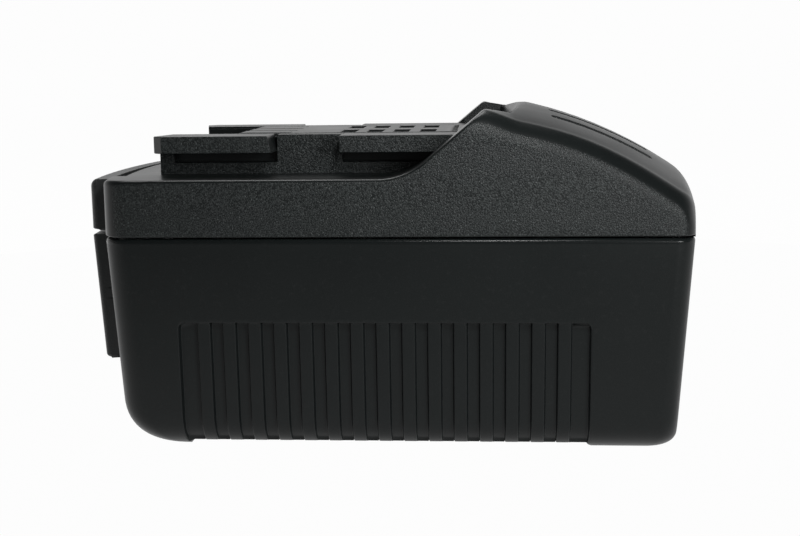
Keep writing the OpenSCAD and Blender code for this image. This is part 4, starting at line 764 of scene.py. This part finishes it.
wearMasks = {"stretch": (90, 900, 1400), "scuff": (0.62, 0.78), "dustScale": 900.0, "dust": (0.6, 0.85)}


def wearGroup():
    # Fine scuffs in the slide direction and thin dust, as masks
    w = wearMasks
    group, inside, outside = newGroup("handlingWear", [("Scuffs", 1.0), ("Dust", 1.0)], ["Scuff", "Dust"])
    where = group.nodes.new("ShaderNodeTexCoord").outputs["Object"]
    stretch = group.nodes.new("ShaderNodeMapping")
    stretch.inputs["Scale"].default_value = w["stretch"]
    group.links.new(where, stretch.inputs["Vector"])
    scuff = rangeNode(group, noiseNode(group, stretch.outputs["Vector"], 1.0), *w["scuff"])
    dust = rangeNode(group, noiseNode(group, where, w["dustScale"]), *w["dust"])
    group.links.new(mathNode(group, "MULTIPLY", scuff, inside.outputs["Scuffs"]), outside.inputs["Scuff"])
    group.links.new(mathNode(group, "MULTIPLY", dust, inside.outputs["Dust"]), outside.inputs["Dust"])
    return group


mouldGrain, handlingWear = grainGroup(), wearGroup()


def mixColour(tree, mask, first, second):
    node = tree.nodes.new("ShaderNodeMix")
    node.data_type = "RGBA"
    sockets = [s for s in node.inputs if s.type == "RGBA"]
    feed(tree, sockets[0], first)
    feed(tree, sockets[1], second)
    tree.links.new(mask, node.inputs["Factor"])
    return [s for s in node.outputs if s.type == "RGBA"][0]


def newMaterial(name):
    material = bpy.data.materials.new(name)
    material.use_nodes = True
    return material, material.node_tree, material.node_tree.nodes["Principled BSDF"]


def groupNode(tree, group, values):
    node = tree.nodes.new("ShaderNodeGroup")
    node.node_tree = group
    for label, value in values.items():
        node.inputs[label].default_value = value
    return node.outputs


# Shares that all looks have in common; the fade and the bump are in metres
finish = {"cloudTones": (0.85, 1.15), "fleckGlintShare": 0.45, "dustShare": 0.06, "dustColour": (0.3, 0.3, 0.3),
          "cloudRough": 0.03, "scuffPolish": 0.06, "bandPolish": 0.6,
          "bandFade": (0.0004, 0.0001), "bump": 0.0001}


def surface(name, colour, pipGlintColour, rough, grainRough, grain, size=2600.0, pips=1500.0, allOver=1.0,
            scuffs=0.5, dust=0.3, specular=0.5, metallic=0.0, polish=None):
    # Cloudy base colour with dust, and with speckles and pips painted lighter as glints of the grain;
    # roughness by grain, clouds and scuffs; grain as bump
    f = finish
    material, tree, shader = newMaterial(name)
    shader.inputs["Specular IOR Level"].default_value = specular
    shader.inputs["Metallic"].default_value = metallic
    mould = groupNode(tree, mouldGrain, {"Size": size, "Pips": pips, "All Over": allOver})
    wear = groupNode(tree, handlingWear, {"Scuffs": scuffs, "Dust": dust})
    dark, pale = (tuple(min(1.0, c * share) for c in colour) for share in f["cloudTones"])
    base = mixColour(tree, mould["Cloud"], dark, pale)
    # Speckles and pips take a lighter colour: a painted glint of the grain, not a colour of the plastic
    fleckGlint = tuple((1 - f["fleckGlintShare"]) * c + f["fleckGlintShare"] * pip for c, pip in zip(colour, pipGlintColour))
    base = mixColour(tree, mould["Speckle"], base, fleckGlint)
    base = mixColour(tree, mould["Pip"], base, pipGlintColour)
    base = mixColour(tree, mathNode(tree, "MULTIPLY", wear["Dust"], f["dustShare"]), base, f["dustColour"])
    tree.links.new(base, shader.inputs["Base Color"])
    roughness = rangeNode(tree, mould["Grained"], 0.0, 1.0, rough, grainRough)
    clouds = rangeNode(tree, mould["Cloud"], 0.3, 0.7, -f["cloudRough"], f["cloudRough"])
    roughness = mathNode(tree, "ADD", roughness, clouds)
    rubbed = mathNode(tree, "MULTIPLY", wear["Scuff"], f["scuffPolish"])
    roughness = mathNode(tree, "SUBTRACT", roughness, rubbed, True)
    if polish:  # smoother between these heights, in metres
        up = axesOf(tree, "Object")["Z"]
        band = mathNode(tree, "MULTIPLY", rangeNode(tree, up, polish[0] - f["bandFade"][0], polish[0]),
                        rangeNode(tree, up, polish[1], polish[1] - f["bandFade"][1]))
        smoother = rangeNode(tree, band, 0.0, 1.0, 1.0, f["bandPolish"])
        roughness = mathNode(tree, "MULTIPLY", roughness, smoother)
    tree.links.new(roughness, shader.inputs["Roughness"])
    bump = tree.nodes.new("ShaderNodeBump")
    bump.inputs["Strength"].default_value = grain
    bump.inputs["Distance"].default_value = f["bump"]
    tree.links.new(mould["Height"], bump.inputs["Height"])
    tree.links.new(bump.outputs["Normal"], shader.inputs["Normal"])
    return material


# Each look: its name, its colour and the lighter colour painted on the pips as their glint, roughness smooth
# and grained, strength of the grain
looks = {
    "casing_textured": surface("charcoalGrained", (0.0076, 0.0094, 0.0094), (0.072, 0.081, 0.08),
                               0.33, 0.4, 0.5, size=3400.0, pips=2300.0, allOver=0.0, specular=0.25),
    "casing_satin": surface("charcoalSatin", (0.0068, 0.0088, 0.0088), (0.0125, 0.0145, 0.0145),
                            0.34, 0.36, 0.06, size=5200.0, pips=3000.0, specular=0.2,
                            polish=(0.043, 0.04385)),
    # The trim's charcoal is painted lighter than the casing's: painted light from the left on the release
    # button and gauge panel
    "trim": surface("charcoalTrimPaintedLight", (0.043, 0.046, 0.046), (0.065, 0.069, 0.069), 0.36, 0.4, 0.1,
                    size=4600.0, pips=2600.0, specular=0.3),
    "latch": surface("latchNylon", (0.014, 0.0145, 0.015), (0.03, 0.03, 0.031), 0.4, 0.42, 0.15,
                     specular=0.3),
    "gauge_button": surface("gaugeRubber", (0.09, 0.093, 0.098), (0.14, 0.14, 0.15), 0.7, 0.7, 0.2),
    "lens": surface("frostedLens", (0.42, 0.44, 0.45), (0.5, 0.5, 0.5), 0.25, 0.27, 0.05, dust=0.1),
    "lights": surface("lightResin", (0.7, 0.68, 0.5), (0.75, 0.73, 0.6), 0.2, 0.22, 0.02),
    "switch": surface("switchBody", (0.2, 0.21, 0.22), (0.25, 0.25, 0.26), 0.35, 0.38, 0.1),
    "board": surface("solderMask", (0.008, 0.075, 0.03), (0.02, 0.11, 0.05), 0.3, 0.33, 0.08),
    "components": surface("componentResin", (0.012, 0.012, 0.013), (0.03, 0.03, 0.03), 0.5, 0.52, 0.2),
    "holder": surface("holderGrey", (0.07, 0.073, 0.077), (0.1, 0.1, 0.1), 0.5, 0.52, 0.2),
    "cell": surface("cellSleeve", (0.02, 0.12, 0.22), (0.04, 0.16, 0.26), 0.28, 0.3, 0.05),
    "nickel": surface("nickelStrip", (0.55, 0.54, 0.5), (0.6, 0.6, 0.55), 0.32, 0.36, 0.08, metallic=1.0),
    "contact": surface("contactBrass", (0.62, 0.4, 0.15), (0.68, 0.46, 0.2), 0.3, 0.33, 0.06, metallic=1.0),
    "sheet": surface("fishPaper", (0.45, 0.36, 0.18), (0.5, 0.4, 0.22), 0.8, 0.82, 0.4),
    "foam": surface("cellFoam", (0.02, 0.02, 0.02), (0.05, 0.05, 0.05), 0.9, 0.92, 0.8),
    "cable": surface("flatCable", (0.03, 0.03, 0.03), (0.05, 0.05, 0.05), 0.45, 0.48, 0.1),
    "spring_steel": surface("springSteel", (0.5, 0.51, 0.53), (0.55, 0.56, 0.57), 0.28, 0.3, 0.05,
                            metallic=1.0),
    "screw_steel": surface("screwSteel", (0.52, 0.53, 0.55), (0.58, 0.58, 0.6), 0.3, 0.33, 0.08,
                           metallic=1.0),
}
for piece, slot in dressed:
    piece.data.materials.append(looks[slot])
nodeSlots = {part["node"]: part["material_slot"] for part in frame["record"]["subparts"]}
for name, node in nodes.items():
    node.data.materials.clear()
    node.data.materials.append(looks[nodeSlots[name]])
print("materials set on", len(nodes), "nodes")

# Floor and backdrop: white to the camera and in reflections, plain pale to other light.
# The reflections fade far in front and high up
studio = {"wallRadius": 4.0, "bend": 0.4, "wallHeight": 1.0, "floorDrop": 0.0002, "floor": 0.8, "white": 0.98,
          "greyY": -0.27, "whiteY": -0.07, "grey": 0.2, "whiteZ": 0.58, "greyZ": 1.0, "greyHigh": 0.5,
          "ceiling": 0.05, "wallsFront": 0.04, "wallsBack": 0.85, "wallFade": (0.12, 0.6),
          "backY": 0.9, "leftX": 0.3, "backFade": (-0.75, 0.25)}


def backdropMaterial():
    material, tree, shader = newMaterial("paleBackdrop")
    shader.inputs["Base Color"].default_value = (studio["floor"],) * 3 + (1.0,)
    shader.inputs["Roughness"].default_value = 0.9
    shader.inputs["Specular IOR Level"].default_value = 0.0
    path = tree.nodes.new("ShaderNodeLightPath")
    seen = mathNode(tree, "MAXIMUM", path.outputs["Is Camera Ray"], path.outputs["Is Glossy Ray"])
    seen = mathNode(tree, "MAXIMUM", seen, path.outputs["Is Transmission Ray"])
    glow = tree.nodes.new("ShaderNodeEmission")
    mix = tree.nodes.new("ShaderNodeMixShader")
    place = axesOf(tree, "Object")
    fade = rangeNode(tree, place["Y"], studio["greyY"], studio["whiteY"], studio["grey"], 1.0)
    high = rangeNode(tree, place["Z"], studio["whiteZ"], studio["greyZ"], 1.0, studio["greyHigh"])
    fade = mathNode(tree, "MULTIPLY", fade, high)
    tree.links.new(mathNode(tree, "MAXIMUM", fade, path.outputs["Is Camera Ray"]), glow.inputs["Color"])
    tree.links.new(mathNode(tree, "MULTIPLY", seen, studio["white"]), mix.inputs["Fac"])
    tree.links.new(shader.outputs["BSDF"], mix.inputs[1])
    tree.links.new(glow.outputs["Emission"], mix.inputs[2])
    tree.links.new(mix.outputs["Shader"], tree.nodes["Material Output"].inputs["Surface"])
    return material


def backdropSheet():
    # Round floor that sweeps up into a wall along a quarter round, turned about the middle
    s = studio
    a = np.radians(np.linspace(-90, 0, 13))
    reach = np.concatenate([[.3, .8, 2], s["wallRadius"] - s["bend"] + s["bend"] * np.cos(a),
                            [s["wallRadius"]]])
    height = np.concatenate([[0, 0, 0], s["bend"] + s["bend"] * np.sin(a), [s["wallHeight"]]])
    height = height - s["floorDrop"]
    turn = np.radians(np.arange(0, 360, 5))
    points = np.stack([np.outer(reach, np.cos(turn)), np.outer(reach, np.sin(turn)),
                       np.outer(height, np.ones(len(turn)))], axis=-1).reshape(-1, 3)
    faces = gridQuads(len(reach), len(turn), wrap=True) + [list(range(len(turn)))]
    mesh = bpy.data.meshes.new("backdrop")
    mesh.from_pydata(points.tolist(), [], faces)
    mesh.shade_smooth()
    sheet = bpy.data.objects.new("backdrop", mesh)
    bpy.context.scene.collection.objects.link(sheet)
    mesh.materials.append(backdropMaterial())


backdropSheet()


def softRoom():
    # Room light by direction: pale walls near the horizon, dimmer towards the front, dark ceiling
    world = bpy.data.worlds.new("softRoom")
    bpy.context.scene.world = world
    world.use_nodes = True
    tree = world.node_tree
    direction = axesOf(tree, "Generated")
    walls = rangeNode(tree, direction["Z"], *studio["wallFade"], 1.0, 0.0)
    turned = mathNode(tree, "SUBTRACT", mathNode(tree, "MULTIPLY", direction["Y"], studio["backY"]),
                      mathNode(tree, "MULTIPLY", direction["X"], studio["leftX"]))
    depth = rangeNode(tree, turned, *studio["backFade"], studio["wallsFront"], studio["wallsBack"])
    strength = mathNode(tree, "ADD", mathNode(tree, "MULTIPLY", walls, depth), studio["ceiling"])
    tree.links.new(strength, tree.nodes["Background"].inputs["Strength"])
    tree.nodes["Background"].inputs["Color"].default_value = (1, 1, 1, 1)


softRoom()


def placeAt(thing, axes, place):  # sets an object's own three axes and its place in metres
    thing.matrix_world = Matrix([[axis[r] for axis in axes] + [place[r]] for r in range(3)] + [[0, 0, 0, 1]])
    bpy.context.scene.collection.objects.link(thing)


def areaLight(name, place, aim, size, power):
    light = bpy.data.lights.new(name, "AREA")
    light.shape, light.size, light.energy = "DISK", size, power
    lamp = bpy.data.objects.new(name, light)
    direction = np.array(aim, float) - np.array(place, float)
    side = np.cross(direction, (0, 0, 1.0))
    up = np.cross(side, direction)
    placeAt(lamp, [v / np.linalg.norm(v) for v in (side, up, -direction)], place)
    lamp.visible_camera = False


areaLight("frontLamp", place=(0.024, -0.11, 0.125), aim=(0.022, -0.036, 0.06), size=0.03, power=0.07)
areaLight("rightSoftbox", place=(0.15, -0.22, 0.1), aim=(0.02, -0.03, 0.04), size=0.1, power=0.3)
areaLight("rearSoftbox", place=(-0.1, 0.35, 0.6), aim=(0, 0, 0.04), size=0.4, power=1.6)

# Camera found from the photograph: place in millimetres, then turn, dip and roll in radians
view = {"place": (19.34, -268.78, 76.19), "yaw": -0.0679, "pitch": 0.1626, "roll": -0.0122,
        "lens": 54.02, "sensor": 36.0}


def photoCamera():
    # A level heading, dipped by the pitch, then rolled about the line of sight
    v = view
    level = np.array([np.sin(v["yaw"]), np.cos(v["yaw"]), 0])
    forward = level * np.cos(v["pitch"]) - np.array([0, 0, np.sin(v["pitch"])])
    right = np.array([np.cos(v["yaw"]), -np.sin(v["yaw"]), 0])
    up = np.cross(right, forward)
    turned = right * np.cos(v["roll"]) + up * np.sin(v["roll"])
    upright = -right * np.sin(v["roll"]) + up * np.cos(v["roll"])
    camera = bpy.data.cameras.new("photoView")
    camera.sensor_width, camera.lens = v["sensor"], v["lens"]
    camera.clip_start = 0.01
    holder = bpy.data.objects.new("photoView", camera)
    placeAt(holder, (turned, upright, -forward), [c * 0.001 for c in v["place"]])
    bpy.context.scene.camera = holder


photoCamera()
bpy.context.scene.view_settings.view_transform = "Standard"
bpy.context.view_layer.update()
print("scene ready")
